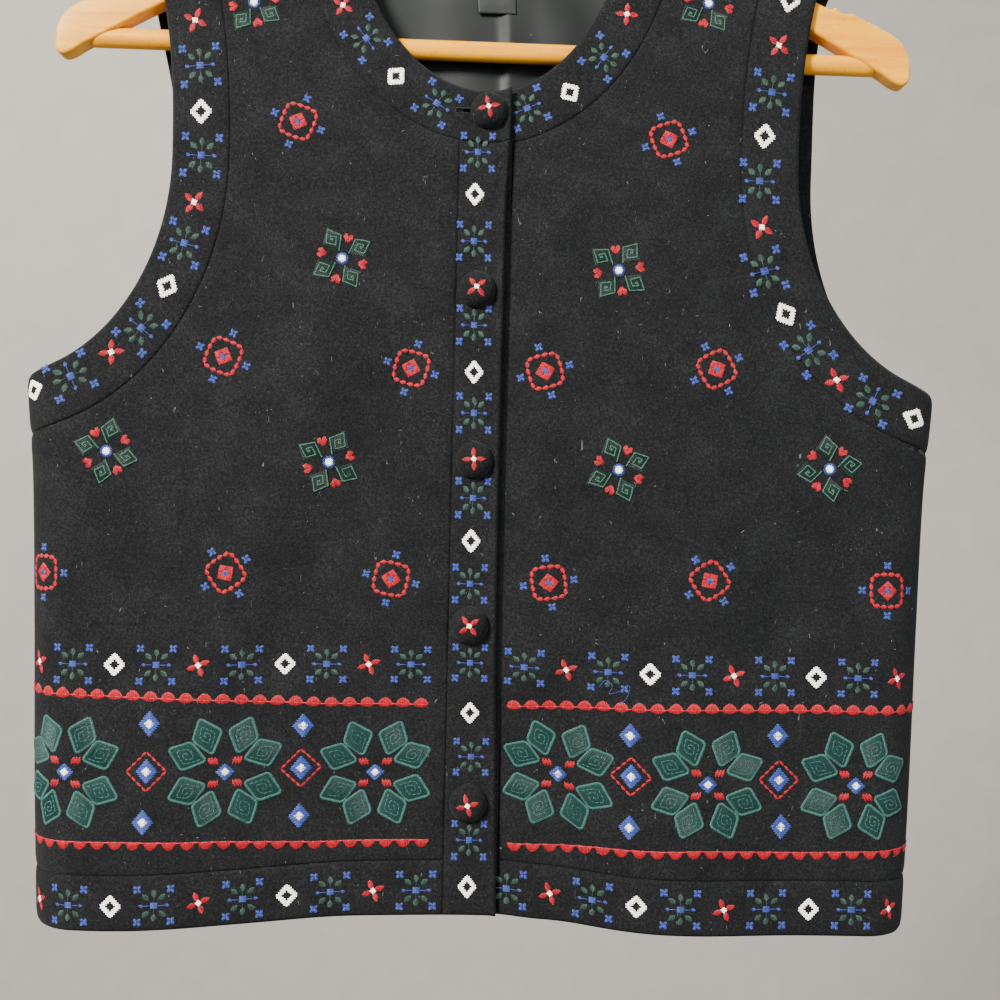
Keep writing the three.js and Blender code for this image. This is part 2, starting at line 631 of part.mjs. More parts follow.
// The hook: a straight stem, a bend out to one side, and most of a circle over the rod.
function hookGeometry() {
  const ring = HOOK.innerRadius + HOOK.wireRadius;
  const start = degToRad(HOOK.joinAngle);
  const onRing = (angle) => new THREE.Vector3(ring * Math.cos(angle), 0, ring * Math.sin(angle) - HOOK.innerRadius);
  const join = onRing(start);
  const lead = new THREE.Vector3(-Math.sin(start), 0, Math.cos(start)).multiplyScalar(12);
  const bend = new THREE.CubicBezierCurve3(
    new THREE.Vector3(0, 0, HOOK.straight),
    new THREE.Vector3(0, 0, HOOK.straight + 12),
    join.clone().sub(lead),
    join,
  );
  const bottom = new THREE.Vector3(0, 0, HOOK.seat + SEAM_GAP);
  const stem = line(bottom, new THREE.Vector3(0, 0, HOOK.straight), 3);
  const arc = evenly(start, degToRad(205), 22).map(onRing);
  const path = new THREE.CatmullRomCurve3([...stem, ...bend.getPoints(6).slice(0, -1), ...arc]);
  const round = new THREE.Shape().absarc(0, 0, HOOK.wireRadius, 0, 2 * Math.PI);
  return new THREE.ExtrudeGeometry(round, { extrudePath: path, steps: 44, curveSegments: 5, bevelEnabled: false });
}

addPiece("hanger_hook", tilted(hookGeometry()), steel);

export default waistcoat;
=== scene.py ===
# %% [markdown]
# # A folk waistcoat of felted wool
#
# The object is a black wool waistcoat with cloth-covered buttons and bright folk embroidery.
# It hangs on a wooden hanger. This notebook starts from the rigid model of every piece and
# makes each one again as cloth, thread, wood or metal, in the same place and at the same size.
#
# Lengths are written in millimetres, because a dressmaker thinks in them, and they are turned
# to metres only when a mesh is made.

# %% The rigid model
import math

import bpy
import numpy as np
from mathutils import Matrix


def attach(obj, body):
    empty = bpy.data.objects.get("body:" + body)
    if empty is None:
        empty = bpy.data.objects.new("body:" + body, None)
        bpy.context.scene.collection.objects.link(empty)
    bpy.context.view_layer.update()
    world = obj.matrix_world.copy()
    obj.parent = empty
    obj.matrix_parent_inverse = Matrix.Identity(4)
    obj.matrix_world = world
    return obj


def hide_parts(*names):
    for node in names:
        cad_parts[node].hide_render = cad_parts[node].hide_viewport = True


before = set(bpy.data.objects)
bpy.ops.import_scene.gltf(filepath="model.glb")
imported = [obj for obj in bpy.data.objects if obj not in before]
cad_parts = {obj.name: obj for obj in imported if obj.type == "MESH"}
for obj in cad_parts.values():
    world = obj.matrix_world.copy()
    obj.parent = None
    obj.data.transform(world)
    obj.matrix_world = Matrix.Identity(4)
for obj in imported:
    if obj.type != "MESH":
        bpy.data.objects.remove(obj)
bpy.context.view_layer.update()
MM = 0.001
print(len(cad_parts), "rigid pieces loaded")

# %% [markdown]
# ## Camera
#
# The waistcoat is seen from straight in front and rather close. It leans by about a degree,
# which a small roll of the camera shows. A camera can be placed by typing three angles, but a
# product of three rotations says what each angle does.

# %% Camera
from mathutils import Matrix, Vector

AIM = (11, -31, -407.7)  # the point of the cloth that the camera looks at
DISTANCE = 650
YAW, ROLL = 0.3, 1.24  # degrees
VIEW_ANGLE = 42.3  # degrees, from side to side

camera_data = bpy.data.cameras.new("camera")
camera_data.sensor_width = 36
camera_data.angle = math.radians(VIEW_ANGLE)
camera_data.clip_start, camera_data.clip_end = 0.02, 30
camera = bpy.data.objects.new("camera", camera_data)
yaw = math.radians(YAW)
eye = [AIM[0] - DISTANCE * math.sin(yaw), AIM[1] - DISTANCE * math.cos(yaw), AIM[2]]
camera.matrix_world = (
    Matrix.Translation([length * MM for length in eye])
    @ Matrix.Rotation(-yaw, 4, "Z")
    @ Matrix.Rotation(math.pi / 2, 4, "X")
    @ Matrix.Rotation(math.radians(ROLL), 4, "Z")
)
bpy.context.scene.collection.objects.link(camera)
bpy.context.scene.camera = camera
print("camera at", [round(length) for length in eye], "mm")

# %% [markdown]
# ## Hanging a flat pattern
#
# Every cloth piece is drawn flat first, as a dressmaker draws it. A pattern point has two
# numbers: `across`, its distance from the centre line along the cloth, and `height`, the level
# at which it hangs. One function, `hang`, then bends the whole pattern round the wearer's
# space. Draping by simulation would also give folds, but each would land where it likes. Here
# the folds are placed, and the embroidery can use the same function to follow them.
#
# `side` is -1 for the front and 1 for the back. The tables are the rigid model's own.

# %% Sizes of the hung cloth
WOOL = 2.4  # thickness
LAYER_GAP = 0.45
SECTIONS = np.array(
    [  # height, half width, front depth, back depth
        (-640, 224.5, 26, 19),
        (-560, 227, 29, 21),
        (-470, 229, 30, 22),
        (-400, 231.5, 28, 20.5),
        (-345, 236, 24.5, 18.2),
        (-210, 236.5, 15.5, 13),
        (-100, 236.5, 10.5, 11),
    ],
    float,
)
SEAM_ACROSS = 246
SIDE_RADIUS = 24
BACK_TWIST = 5.2
HEM, HEM_SEAM = -628.5, -600.8
PLACKET = 13.5  # half its width
UNDER_EDGE = 12
NECK_HALF_WIDTH, NECK_FRONT, NECK_BACK, NECK_BAND = 72, 109.8, 23.8, 27
ARMHOLE_BOTTOM, ARMHOLE_NARROWEST = -350, -235
FRONT_SCOOP, BACK_SCOOP, ARMHOLE_BAND = 85.5, 77, 29
ARMHOLE_FLARE, FLARE_HEIGHT = 20, 135
WRAP_RADIUS, RIDGE_CLEARANCE, SHOULDER_FALL = 9.4, 4.2, 90
WRAP_LENGTH = WRAP_RADIUS * math.pi / 2
RISE_RIGHT, RISE_LEFT, RISE_SIDE = 10.6, 11.4, 3.8  # hem lift beside the buttons, and far left
UNDERLAP_REACH = 22  # how far past the placket the left front comes back to its own depth

FOLDS = [  # side, first point, second point, half width, rise
    (-1, -44, -345, -95, -490, 17, -2.8),
    (-1, -78, -345, -135, -500, 22, 2),
    (-1, -215, -392, -140, -455, 18, -2.2),
    (-1, -170, -640, -150, -540, 46, 5.5),
    (-1, -70, -640, -66, -560, 26, -2.5),
    (-1, 48, -640, 40, -520, 20, -3.5),
    (-1, 112, -640, 104, -520, 38, 5.5),
    (-1, 214, -396, 150, -470, 20, -2.4),
    (-1, 96, -250, 120, -360, 24, 1.8),
    (1, 0, -240, 4, -430, 22, -2.4),
    (1, -92, -200, -70, -420, 26, 2.4),
    (1, 96, -190, 76, -400, 24, 2),
    (1, -205, -392, -120, -480, 20, -2.4),
    (1, 205, -392, 130, -470, 20, -2.2),
    (1, -120, -640, -112, -500, 40, 4),
    (1, 60, -640, 66, -520, 34, 3.5),
]


def smoothstep(value, low, high):
    """3t^2 - 2t^3, where t runs from 0 at `low` to 1 at `high`."""
    t = np.clip((value - low) / (high - low), 0, 1)
    return t * t * (3 - 2 * t)


def mix(low, high, share):
    return low + (high - low) * share


# %% [markdown]
# The front hem rises towards the buttons, because the two fronts hang from the neck, and the
# whole left side hangs a little high. So each layer of cloth has its own lift.


# %% The three layers of cloth
def towards_hem(height):
    return smoothstep(-height, 430, 600)


def lift_right(across, height):
    return RISE_RIGHT * (1 - smoothstep(np.abs(across), 0, 205)) * towards_hem(height)


def lift_left(across, height):
    return mix(RISE_LEFT, RISE_SIDE, smoothstep(across, -10, 100)) * towards_hem(height)


def lift_back(across, height):
    return RISE_SIDE * smoothstep(across, 0, SEAM_ACROSS) * towards_hem(height)


FRONT_RIGHT = (-1, 0, lift_right)  # side, how far the layer lies under the other, lift
FRONT_LEFT = (-1, WOOL + LAYER_GAP, lift_left)
BACK = (1, 0, lift_back)


def ridge_height(across):
    """The hanger's upper edge: -75 - 0.27|a| - 0.00052 a^2."""
    return -75 - 0.27 * np.abs(across) - 0.00052 * across**2


def shoulder_height(across):
    return ridge_height(across) + RIDGE_CLEARANCE + WRAP_LENGTH - WRAP_RADIUS


def section_at(height):
    """A smooth curve through SECTIONS: on each span the cubic whose slope at both ends is the
    chord from the row before to the row after, and which is straight past the first and last."""
    heights, sizes = SECTIONS[:, 0], SECTIONS[:, 1:]
    height = np.minimum(height, heights[-1])
    i = np.clip(np.searchsorted(heights, height, side="right") - 1, 0, len(heights) - 2)
    before = np.where(i > 0, i - 1, i + 1)
    after = np.where(i < len(heights) - 2, i + 2, i)
    step = heights[i + 1] - heights[i]
    p = ((height - heights[i]) / step)[..., None]
    wp = (step / 2 / (heights[i] - heights[before]))[..., None]
    wn = (step / 2 / (heights[after] - heights[i + 1]))[..., None]
    return (
        (-wp * p**3 + 2 * wp * p**2 - wp * p) * sizes[before]
        + ((1 + wp) * p**3 + (-1.5 - 2 * wp) * p**2 + (-0.5 + wp) * p + 1) * sizes[i]
        + ((-1 - wn) * p**3 + (1.5 + wn) * p**2 + 0.5 * p) * sizes[i + 1]
        + (wn * p**3 - wn * p**2) * sizes[after]
    )


def fold_rise(side, across, height):
    """The sum over the folds of rise * exp(-(distance to its line / half width)^2)."""
    total = np.zeros(np.shape(across))
    for _, a0, h0, a1, h1, reach, rise in (fold for fold in FOLDS if fold[0] == side):
        da, dh = a1 - a0, h1 - h0
        t = np.clip(((across - a0) * da + (height - h0) * dh) / (da**2 + dh**2), 0, 1)
        distance = np.hypot(across - a0 - t * da, height - h0 - t * dh)
        total += rise * np.exp(-((distance / reach) ** 2))
    return total


def hang(layer, across, height):
    """The middle of the cloth's thickness. Down from the shoulder seam it turns a quarter circle
    over the hanger, then its depth eases from that circle's radius to the section's. Past
    `flat` it turns another quarter circle to the side seam, so depth is times cos(turn)."""
    side, underlap, lift = layer
    across, height = np.broadcast_arrays(np.asarray(across, float), np.asarray(height, float))
    half_width, front, back = np.moveaxis(section_at(height), -1, 0)
    flat = half_width - SIDE_RADIUS
    turn = np.maximum(0, np.abs(across) - flat) / (SEAM_ACROSS - flat) * math.pi / 2
    x = np.where(turn > 0, np.sign(across) * (flat + SIDE_RADIUS * np.sin(turn)), across)
    drop = shoulder_height(across) - height
    below = smoothstep(drop, WRAP_LENGTH, WRAP_LENGTH + SHOULDER_FALL)
    angle = drop / WRAP_RADIUS
    turning = drop < WRAP_LENGTH
    circle = ridge_height(across) + RIDGE_CLEARANCE - WRAP_RADIUS * (1 - np.cos(angle))
    depth = np.where(
        turning, WRAP_RADIUS * np.sin(angle), mix(WRAP_RADIUS, front if side < 0 else back, below)
    )
    z = np.where(turning, circle, height)
    depth = depth + fold_rise(side, across, height) * below
    depth = depth - underlap * (1 - smoothstep(across, PLACKET, PLACKET + UNDERLAP_REACH))
    if side > 0:
        twist = BACK_TWIST * smoothstep(height, -380, -290) * below
        x = x + twist * (1 - smoothstep(np.abs(across), 190, 240))
    return np.stack([x, side * depth * np.cos(turn), z + lift(across, height)], -1)


def outward(layer, across, height):
    """The unit normal of the hung cloth: the cross product of its two slopes."""
    step = 0.5
    right = hang(layer, across + step, height) - hang(layer, across - step, height)
    up = hang(layer, across, height + step) - hang(layer, across, height - step)
    normal = np.cross(right, up) * -layer[0]
    return normal / np.linalg.norm(normal, axis=-1, keepdims=True)


def on_cloth(layer, across, height, rise):
    """A point `rise` outward from the middle of the cloth's thickness."""
    across, height = np.asarray(across, float), np.asarray(height, float)
    rise = np.asarray(rise, float)[..., None]
    return hang(layer, across, height) + outward(layer, across, height) * rise


print("the front is", round(float(-hang(FRONT_RIGHT, 60.0, -470.0)[1]), 1), "mm deep at the waist")

# %% [markdown]
# ## Making a mesh
#
# Arrays go into a mesh in one call each. A wall of cloth is two grids of points, outer and
# inner, and the inner one reaches a little past the seams. Each grid cell gives one face on
# each grid, and every edge between a kept cell and an empty one gives a face across the
# thickness. That closes the wall all round and also round a buttonhole, which is only a few
# cells left out. Turned and swept pieces are rings of points instead, joined ring to ring.


# %% Mesh helpers
def new_piece(name, points, faces, material):
    """An object from points in millimetres and faces as an array of corner numbers."""
    mesh = bpy.data.meshes.new(name)
    count, corners = faces.shape
    mesh.vertices.add(len(points))
    mesh.vertices.foreach_set("co", (np.asarray(points) * MM).astype(np.float32).ravel())
    mesh.loops.add(count * corners)
    mesh.loops.foreach_set("vertex_index", faces.astype(np.int32).ravel())
    mesh.polygons.add(count)
    mesh.polygons.foreach_set("loop_start", np.arange(count, dtype=np.int32) * corners)
    mesh.update(calc_edges=True)
    mesh.shade_smooth()
    mesh.validate()
    mesh.materials.append(material)
    piece = bpy.data.objects.new(name, mesh)
    bpy.context.scene.collection.objects.link(piece)
    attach(piece, "root")
    return piece


def wall_faces(keep):
    """Quads of a wall over a grid of cells. Cell (r, c) has corners (r, c) to (r + 1, c + 1),
    the outer points come first, and `keep` says which cells are cloth."""
    rows, columns = keep.shape[0] + 1, keep.shape[1] + 1
    index = np.arange(rows * columns).reshape(rows, columns)
    other = rows * columns
    a, b, c, d = index[:-1, :-1], index[:-1, 1:], index[1:, 1:], index[1:, :-1]
    quads = [np.stack([a, b, c, d], -1)[keep], np.stack([a, d, c, b], -1)[keep] + other]
    padded = np.pad(keep, 1)
    inside = padded[1:-1, 1:-1]
    for first, second, beyond in [
        (b, a, padded[:-2, 1:-1]),
        (d, c, padded[2:, 1:-1]),
        (a, d, padded[1:-1, :-2]),
        (c, b, padded[1:-1, 2:]),
    ]:
        edge = inside & ~beyond
        p, q = first[edge], second[edge]
        quads.append(np.stack([p, q, q + other, p + other], -1))
    return np.concatenate(quads)


def face_out(points, faces):
    """Turns every face over if the closed mesh has a negative volume."""
    p = points[faces]
    volume = np.einsum("ij,ij->i", p[:, 0], np.cross(p[:, 1], p[:, 2])).sum()
    volume += np.einsum("ij,ij->i", p[:, 0], np.cross(p[:, 2], p[:, 3])).sum()
    return faces if volume > 0 else faces[:, ::-1]


def ring_faces(rings, points_round):
    """Quads from each closed ring of points to the next one."""
    index = np.arange(rings * points_round).reshape(rings, points_round)
    beside = np.roll(index, -1, 1)
    return np.stack([index[:-1], index[1:], beside[1:], beside[:-1]], -1).reshape(-1, 4)


def stand_in(node, name, points, faces, material):
    """A closed piece with its faces turned out, in the place of a rigid one."""
    piece = new_piece(name, points, face_out(points, faces), material)
    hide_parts(node)
    return piece


# %% [markdown]
# ## Curves on the pattern
#
# The neckline is half an ellipse, and an armhole is a quarter ellipse with a gentle curve above
# it. A band is the strip between such a curve and its own offset.


# %% Curves
def arc_length(curve, sideways=1.0):
    """Distance from the start to each point. `sideways` scales the part that goes across."""
    step = np.diff(curve, axis=0) * (sideways, 1)
    return np.concatenate([[0], np.cumsum(np.linalg.norm(step, axis=1))])


def along(curve, distances, sideways=1.0):
    """Points of a polyline at distances from its start."""
    length = arc_length(curve, sideways)
    return np.stack([np.interp(distances, length, curve[:, k]) for k in (0, 1)], -1)


def evenly_spaced(curve, count=900):
    return along(curve, np.linspace(0, arc_length(curve)[-1], count))


def line(*corners):
    return evenly_spaced(np.array(corners, float))


def offset_curve(curve, distance):
    """The curve moved to its right as it is followed: p + distance * (t_y, -t_x)."""
    tangent = np.gradient(curve, axis=0)
    tangent /= np.linalg.norm(tangent, axis=1, keepdims=True)
    return curve + distance * np.stack([tangent[:, 1], -tangent[:, 0]], -1)


def up_to_shoulder(curve, below=0.0):
    """The part of a curve that is `below` the shoulder seam or lower, ending at that level."""
    excess = shoulder_height(curve[:, 0]) - below - curve[:, 1]
    i = int(np.argmax(excess <= 0))
    t = excess[i - 1] / (excess[i - 1] - excess[i])
    return np.vstack([curve[:i], mix(curve[i - 1], curve[i], t)])


def from_across(curve, across):
    """The part of a curve after it crosses a line of one `across`."""
    i = int(np.argmax(curve[:, 0] > across))
    t = (across - curve[i - 1, 0]) / (curve[i, 0] - curve[i - 1, 0])
    return np.vstack([[across, mix(curve[i - 1, 1], curve[i, 1], t)], curve[i:]])


def armhole_curve(scoop, distance=0.0):
    """A quarter ellipse from the side seam in to the narrowest point, and above it the parabola
    a = narrowest + flare * t^2. `distance` is measured into the cloth."""
    inner = SEAM_ACROSS - scoop
    angle = np.linspace(0, math.pi / 2, 500)
    rise = ARMHOLE_NARROWEST - ARMHOLE_BOTTOM
    bottom = np.stack(
        [SEAM_ACROSS - scoop * np.sin(angle), ARMHOLE_NARROWEST - rise * np.cos(angle)], -1
    )
    t = np.linspace(0, 1, 300)[1:]
    top = np.stack([inner + ARMHOLE_FLARE * t**2, ARMHOLE_NARROWEST + FLARE_HEIGHT * t], -1)
    curve = offset_curve(evenly_spaced(np.vstack([bottom, top])), -distance)
    curve[:, 0] = np.minimum(curve[:, 0], SEAM_ACROSS)
    curve[0, 0] = SEAM_ACROSS
    return up_to_shoulder(curve)


def neck_curve(depth, distance=0.0, start=0.0):
    """Half an ellipse hung from the shoulder, from the line `across` = start."""
    top = shoulder_height(NECK_HALF_WIDTH)
    angle = np.linspace(-0.62 * math.pi, 0, 900)  # from a little past the centre line
    bottom = np.stack([NECK_HALF_WIDTH * np.cos(angle), top + depth * np.sin(angle)], -1)
    rise = np.linspace(0, NECK_BAND, 60)[1:]
    straight = np.stack([np.full(len(rise), float(NECK_HALF_WIDTH)), top + rise], -1)
    curve = offset_curve(evenly_spaced(np.vstack([bottom, straight]), 1500), distance)
    return up_to_shoulder(from_across(curve, start))


def both_sides(half):
    """A curve from the centre line outward, with its mirror image before it."""
    return np.vstack([half[::-1] * (-1, 1), half[1:]])


def shoulder_line(start, end):
    across = np.linspace(start, end, 120)
    return np.stack([across, shoulder_height(across)], -1)


print("one armhole edge is", round(arc_length(armhole_curve(FRONT_SCOOP))[-1]), "mm long")

# %% [markdown]
# ## A patch of cloth
#
# A pattern piece has four edges. A Coons patch fills them: it adds the blend of the bottom and
# top edges to the blend of the left and right ones, and takes away the plain four-cornered
# sheet that was counted twice. All four edges come out exact, so neighbours meet along their
# seams. The rows and columns are even in the middle and very close at the edges, because there
# the cloth's thickness rolls over in a half circle. Two such rolls side by side look like a
# pressed seam, which a bump in the material would only pretend.

# %% Patches
EDGE_STEPS = np.array([0, 0.12, 0.4, 0.8, 1.3])  # distances from a rolled edge, in millimetres
SEAM_EASE = 0.45  # how far the outer roll starts from the seam line: it leaves a dark groove
CELL = 3.5  # usual spacing of the cloth's points, in millimetres
HIDDEN_CELL = 4.6  # on the back, which has no embroidery to carry
PRESSED, PRESSED_REACH = 0.4, 2.8  # share of the thickness that the iron takes, and how far in
SIDEWAYS = 0.5  # keeps rows apart where an armhole runs almost level


def stations(length, count, ease):
    """Distances from a start: the close steps, `count` even ones, and the close steps again."""
    steps = EDGE_STEPS + ease
    middle = np.linspace(steps[-1], length - steps[-1], count + 2)[1:-1]
    return np.concatenate([steps, middle, length - steps[::-1]])


def coons(bottom, top, left, right, cell=CELL, ease=0.0):
    """(1-v) bottom + v top + (1-u) left + u right - the bilinear sheet of the four corners."""
    long = [arc_length(bottom)[-1], arc_length(top)[-1]]
    tall = [arc_length(left, SIDEWAYS)[-1], arc_length(right, SIDEWAYS)[-1]]
    columns, rows = max(2, round(max(long) / cell)), max(2, round(max(tall) / cell))
    us = [stations(length, columns, ease) for length in long]
    vs = [stations(length, rows, ease) for length in tall]
    low, high = along(bottom, us[0])[None], along(top, us[1])[None]
    west, east = along(left, vs[0], SIDEWAYS)[:, None], along(right, vs[1], SIDEWAYS)[:, None]
    u = ((us[0] / long[0] + us[1] / long[1]) / 2)[None, :, None]
    v = ((vs[0] / tall[0] + vs[1] / tall[1]) / 2)[:, None, None]
    corners = mix(mix(bottom[0], bottom[-1], u), mix(top[0], top[-1], u), v)
    return mix(low, high, v) + mix(west, east, u) - corners


def past_seam(grid):
    """Moves the outermost points three close steps outward, so that no light passes a seam."""
    for side in (grid, grid.transpose(1, 0, 2)):
        side[0] += 3 * (side[0] - side[1])
        side[-1] += 3 * (side[-1] - side[-2])


def edge_distance(grid, edges):
    """The distance from every point to the nearest of the edges' straight segments."""
    counts = [max(8, int(arc_length(edge)[-1] / 2)) for edge in edges]
    outline = np.vstack([evenly_spaced(edge, count) for edge, count in zip(edges, counts)])
    breaks = np.cumsum(counts)[:-1] - 1
    start, step = np.delete(outline[:-1], breaks, 0), np.delete(np.diff(outline, axis=0), breaks, 0)
    nearest = []
    for row in grid:
        gap = row[:, None] - start
        t = np.clip((gap * step).sum(-1) / (step**2).sum(-1), 0, 1)
        nearest.append(np.linalg.norm(gap - t[..., None] * step, axis=-1).min(-1))
    return np.array(nearest)


# %% [markdown]
# The wall function also measures the flat cut of every sheet: the shoelace area of the pattern
# outline.


# %% A wall of cloth
SMALLEST_SHEET = 10  # no cut is worked out for a smaller scrap; the frame doesn't take a smaller scrap as a sheet


def flat_area(loop):
    x, y = loop[:, 0], loop[:, 1]
    return abs(np.dot(x, np.roll(y, 1)) - np.dot(y, np.roll(x, 1))) / 2


def cloth_wall(name, layer, edges, material, thickness=WOOL, offset=0.0, hand=1, cell=CELL,
               hole=None, surface=None):
    """A closed wall between four pattern edges. At a distance d from the nearest edge its half
    thickness is r sqrt(1 - (1 - d/r)^2) up to d = r, then r, all times 1 - p exp(-(d/q)^2) with
    PRESSED and its reach, because an edge is ironed flat. The inner side meets its neighbour's."""
    bottom, top, left, right = edges
    grid, seam_grid = (coons(*edges, cell, ease) for ease in (SEAM_EASE, 0))
    distance, half = edge_distance(grid, edges) - SEAM_EASE, thickness / 2
    near = np.clip(distance / half, 0, 1)
    pressed = 1 - PRESSED * np.exp(-((distance / PRESSED_REACH) ** 2))
    half = half * np.maximum(np.sqrt(1 - (1 - near) ** 2), 0.1) * pressed
    across, height = grid[..., 0] * hand, grid[..., 1]
    keep = np.ones((grid.shape[0] - 1, grid.shape[1] - 1), bool)
    if hole:
        centre = (grid[:-1, :-1] + grid[1:, 1:]) / 2 * (hand, 1)
        keep &= ~hole(centre[..., 0], centre[..., 1])
    extra = surface(across, height) if surface else 0.0
    outer = on_cloth(layer, across, height, offset + extra + half)
    past_seam(seam_grid)
    inner = on_cloth(layer, seam_grid[..., 0] * hand, seam_grid[..., 1], offset + extra - half)
    points = np.concatenate([outer.reshape(-1, 3), inner.reshape(-1, 3)])
    piece = stand_in(name, f"{name}_cloth", points, wall_faces(keep), material)
    loop = np.vstack([bottom, right, top[::-1], left[::-1]])
    area, size = flat_area(loop), np.ptp(loop, axis=0)
    if area < size.prod() / 2:  # a curved strip is cut by its length and its width
        length = max(arc_length(bottom)[-1], arc_length(left)[-1])
        size = np.array([area / length, length])
    if min(size) >= SMALLEST_SHEET:
        min(area, size.prod()) * MM**2
    return piece


# %% [markdown]
# ## Nodes for a material
#
# One small function adds a node, gives it its settings, and links any socket it is handed.
# Another joins a finished colour and a height to the shader.


# %% Material helpers
def linear(hex_code):
    """sRGB hex to linear colour: c / 12.92 up to 0.04045, and ((c + 0.055) / 1.055)^2.4 above."""
    srgb = np.array([int(hex_code[i : i + 2], 16) for i in (1, 3, 5)]) / 255
    rgb = np.where(srgb <= 0.04045, srgb / 12.92, ((srgb + 0.055) / 1.055) ** 2.4)
    return (*rgb.tolist(), 1.0)


def add(tree, kind, inputs=(), stops=(), **settings):
    """A node whose inputs are set to values or linked to sockets. `stops` are the positions and
    hex colours of a colour ramp."""
    node = tree.nodes.new("ShaderNode" + kind)
    for key, value in settings.items():
        setattr(node, key, value)
    for key, value in dict(inputs).items():
        if isinstance(value, bpy.types.NodeSocket):
            tree.links.new(value, node.inputs[key])
        else:
            node.inputs[key].default_value = value
    if stops:
        elements = node.color_ramp.elements
        while len(elements) < len(stops):
            elements.new(0.5)
        for element, (position, colour) in zip(elements, stops):
            element.position, element.color = position, linear(colour)
    return node


def per_metre(millimetres):
    """The texture scale that gives features of a size."""
    return 1 / (millimetres * MM)


def finish_of(name, **surface):
    """A material whose one shader has these settings. Returns it with its tree, its shader and
    the socket of the piece's own coordinates."""
    material = bpy.data.materials.new(name)
    material.use_nodes = True
    tree = material.node_tree
    shader = tree.nodes["Principled BSDF"]
    for key, value in surface.items():
        shader.inputs[key.replace("_", " ")].default_value = value
    return material, tree, shader, add(tree, "TexCoord").outputs["Object"]


def dress(tree, shader, colour, height=None, strength=0.0, depth=0.0):
    """Gives the shader a colour and, from a height, a bump that is `depth` millimetres deep."""
    if colour is not None:
        tree.links.new(colour, shader.inputs["Base Color"])
    if height is not None:
        bump = add(tree, "Bump", {"Height": height, "Strength": strength, "Distance": depth * MM})
        tree.links.new(bump.outputs["Normal"], shader.inputs["Normal"])


# %% [markdown]
# ## Felted wool
#
# The cloth is wool melton: woven, then fulled until the fibres mat together. That gives a matt
# near-black surface with no visible weave, a faint pale haze where it turns from the eye, and
# tiny lighter fibres. The haze is sheen, the matting is bump of about half a millimetre, and
# the fibres are drawn as long as 2 mm so that they show.


# %% Felted wool
def felted_wool():
    material, tree, shader, where = finish_of(
        "felted_wool_melton",
        Roughness=0.95,
        Specular_IOR_Level=0.1,
        Sheen_Weight=0.05,
        Sheen_Roughness=0.4,
        Sheen_Tint=linear("#c9ccd4"),
    )
    mat = add(tree, "TexNoise", {
        "Vector": where, "Scale": per_metre(1.15), "Detail": 5, "Roughness": 0.7,
    })
    cloud = add(tree, "TexNoise", {"Vector": where, "Scale": per_metre(18), "Detail": 3})
    both = add(tree, "Mix", {"Factor": 0.2, "A": mat.outputs["Fac"], "B": cloud.outputs["Fac"]})
    shades = ((0.34, "#07080a"), (0.5, "#121314"), (0.68, "#222325"))
    base = add(tree, "ValToRGB", {"Fac": both.outputs[0]}, shades).outputs["Color"]
    stretch = add(tree, "Mapping", {"Vector": where, "Scale": (1, 1, 0.35), "Rotation": (0, 0.5, 0)})
    fibre = add(tree, "TexNoise", {
        "Vector": stretch.outputs[0], "Scale": per_metre(1.6), "Detail": 1, "Distortion": 1.5,
    })
    flecks = add(tree, "MapRange", {
        "Value": fibre.outputs["Fac"], "From Min": 0.755, "From Max": 0.80,
    })
    mixed = {"Factor": flecks.outputs[0], "A": base, "B": linear("#4a4a50")}
    colour = add(tree, "Mix", mixed, data_type="RGBA")
    nap = add(tree, "TexNoise", {
        "Vector": where, "Scale": per_metre(0.9), "Detail": 4, "Roughness": 0.7,
    })
    dress(tree, shader, colour.outputs["Result"], nap.outputs["Fac"], strength=0.7, depth=0.6)
    return material


wool = felted_wool()

# %% [markdown]
# ## The cloth pieces
#
# A waistcoat like this is cut as two fronts and one back, and every edge is finished with a
# band. The right front laps over the left. Each piece below is one patch between its own
# seams, so it stands exactly where its rigid twin stands.

# %% Fronts
HANDS = {"right": (-1, FRONT_RIGHT), "left": (1, FRONT_LEFT)}


def side_edge(scoop):
    """Up the side seam and round the armhole seam to the shoulder."""
    seam = armhole_curve(scoop, ARMHOLE_BAND)
    return np.vstack([line((SEAM_ACROSS, HEM_SEAM), seam[0]), seam[1:]])


neck_seam = neck_curve(NECK_FRONT, NECK_BAND, PLACKET)
front_side = side_edge(FRONT_SCOOP)
front_edges = (
    line((PLACKET, HEM_SEAM), (SEAM_ACROSS, HEM_SEAM)),
    np.vstack([neck_seam, shoulder_line(neck_seam[-1, 0], front_side[-1, 0])[1:]]),
    line((PLACKET, HEM_SEAM), neck_seam[0]),
    front_side,
)
for name, (hand, layer) in HANDS.items():
    cloth_wall(f"front_{name}", layer, front_edges, wool, hand=hand)

# %% Back
def back_edges(half_top, side):
    """The hem seam, the neck and both shoulders, and the two sides."""
    hem = line((-SEAM_ACROSS, HEM_SEAM), (SEAM_ACROSS, HEM_SEAM))
    return hem, both_sides(half_top), side * (-1, 1), side


back_neck = neck_curve(NECK_BACK, NECK_BAND)
back_side = side_edge(BACK_SCOOP)
half_top = np.vstack([back_neck, shoulder_line(back_neck[-1, 0], back_side[-1, 0])[1:]])
cloth_wall("back", BACK, back_edges(half_top, back_side), wool, cell=HIDDEN_CELL)

# %% [markdown]
# The bands are strips of the same wool. Their free edge is a fold, and their seam edge is
# pressed, but both are a rolled edge, so one function serves.


# %% Bands
BAND_CELL = 2.6


def strip(first, second):
    """A strip whose long edges are two curves that run the same way."""
    return first, second, line(first[0], second[0]), line(first[-1], second[-1])


def hem_strip(start):
    return strip(*[line((start, level), (SEAM_ACROSS, level)) for level in (HEM, HEM_SEAM)])


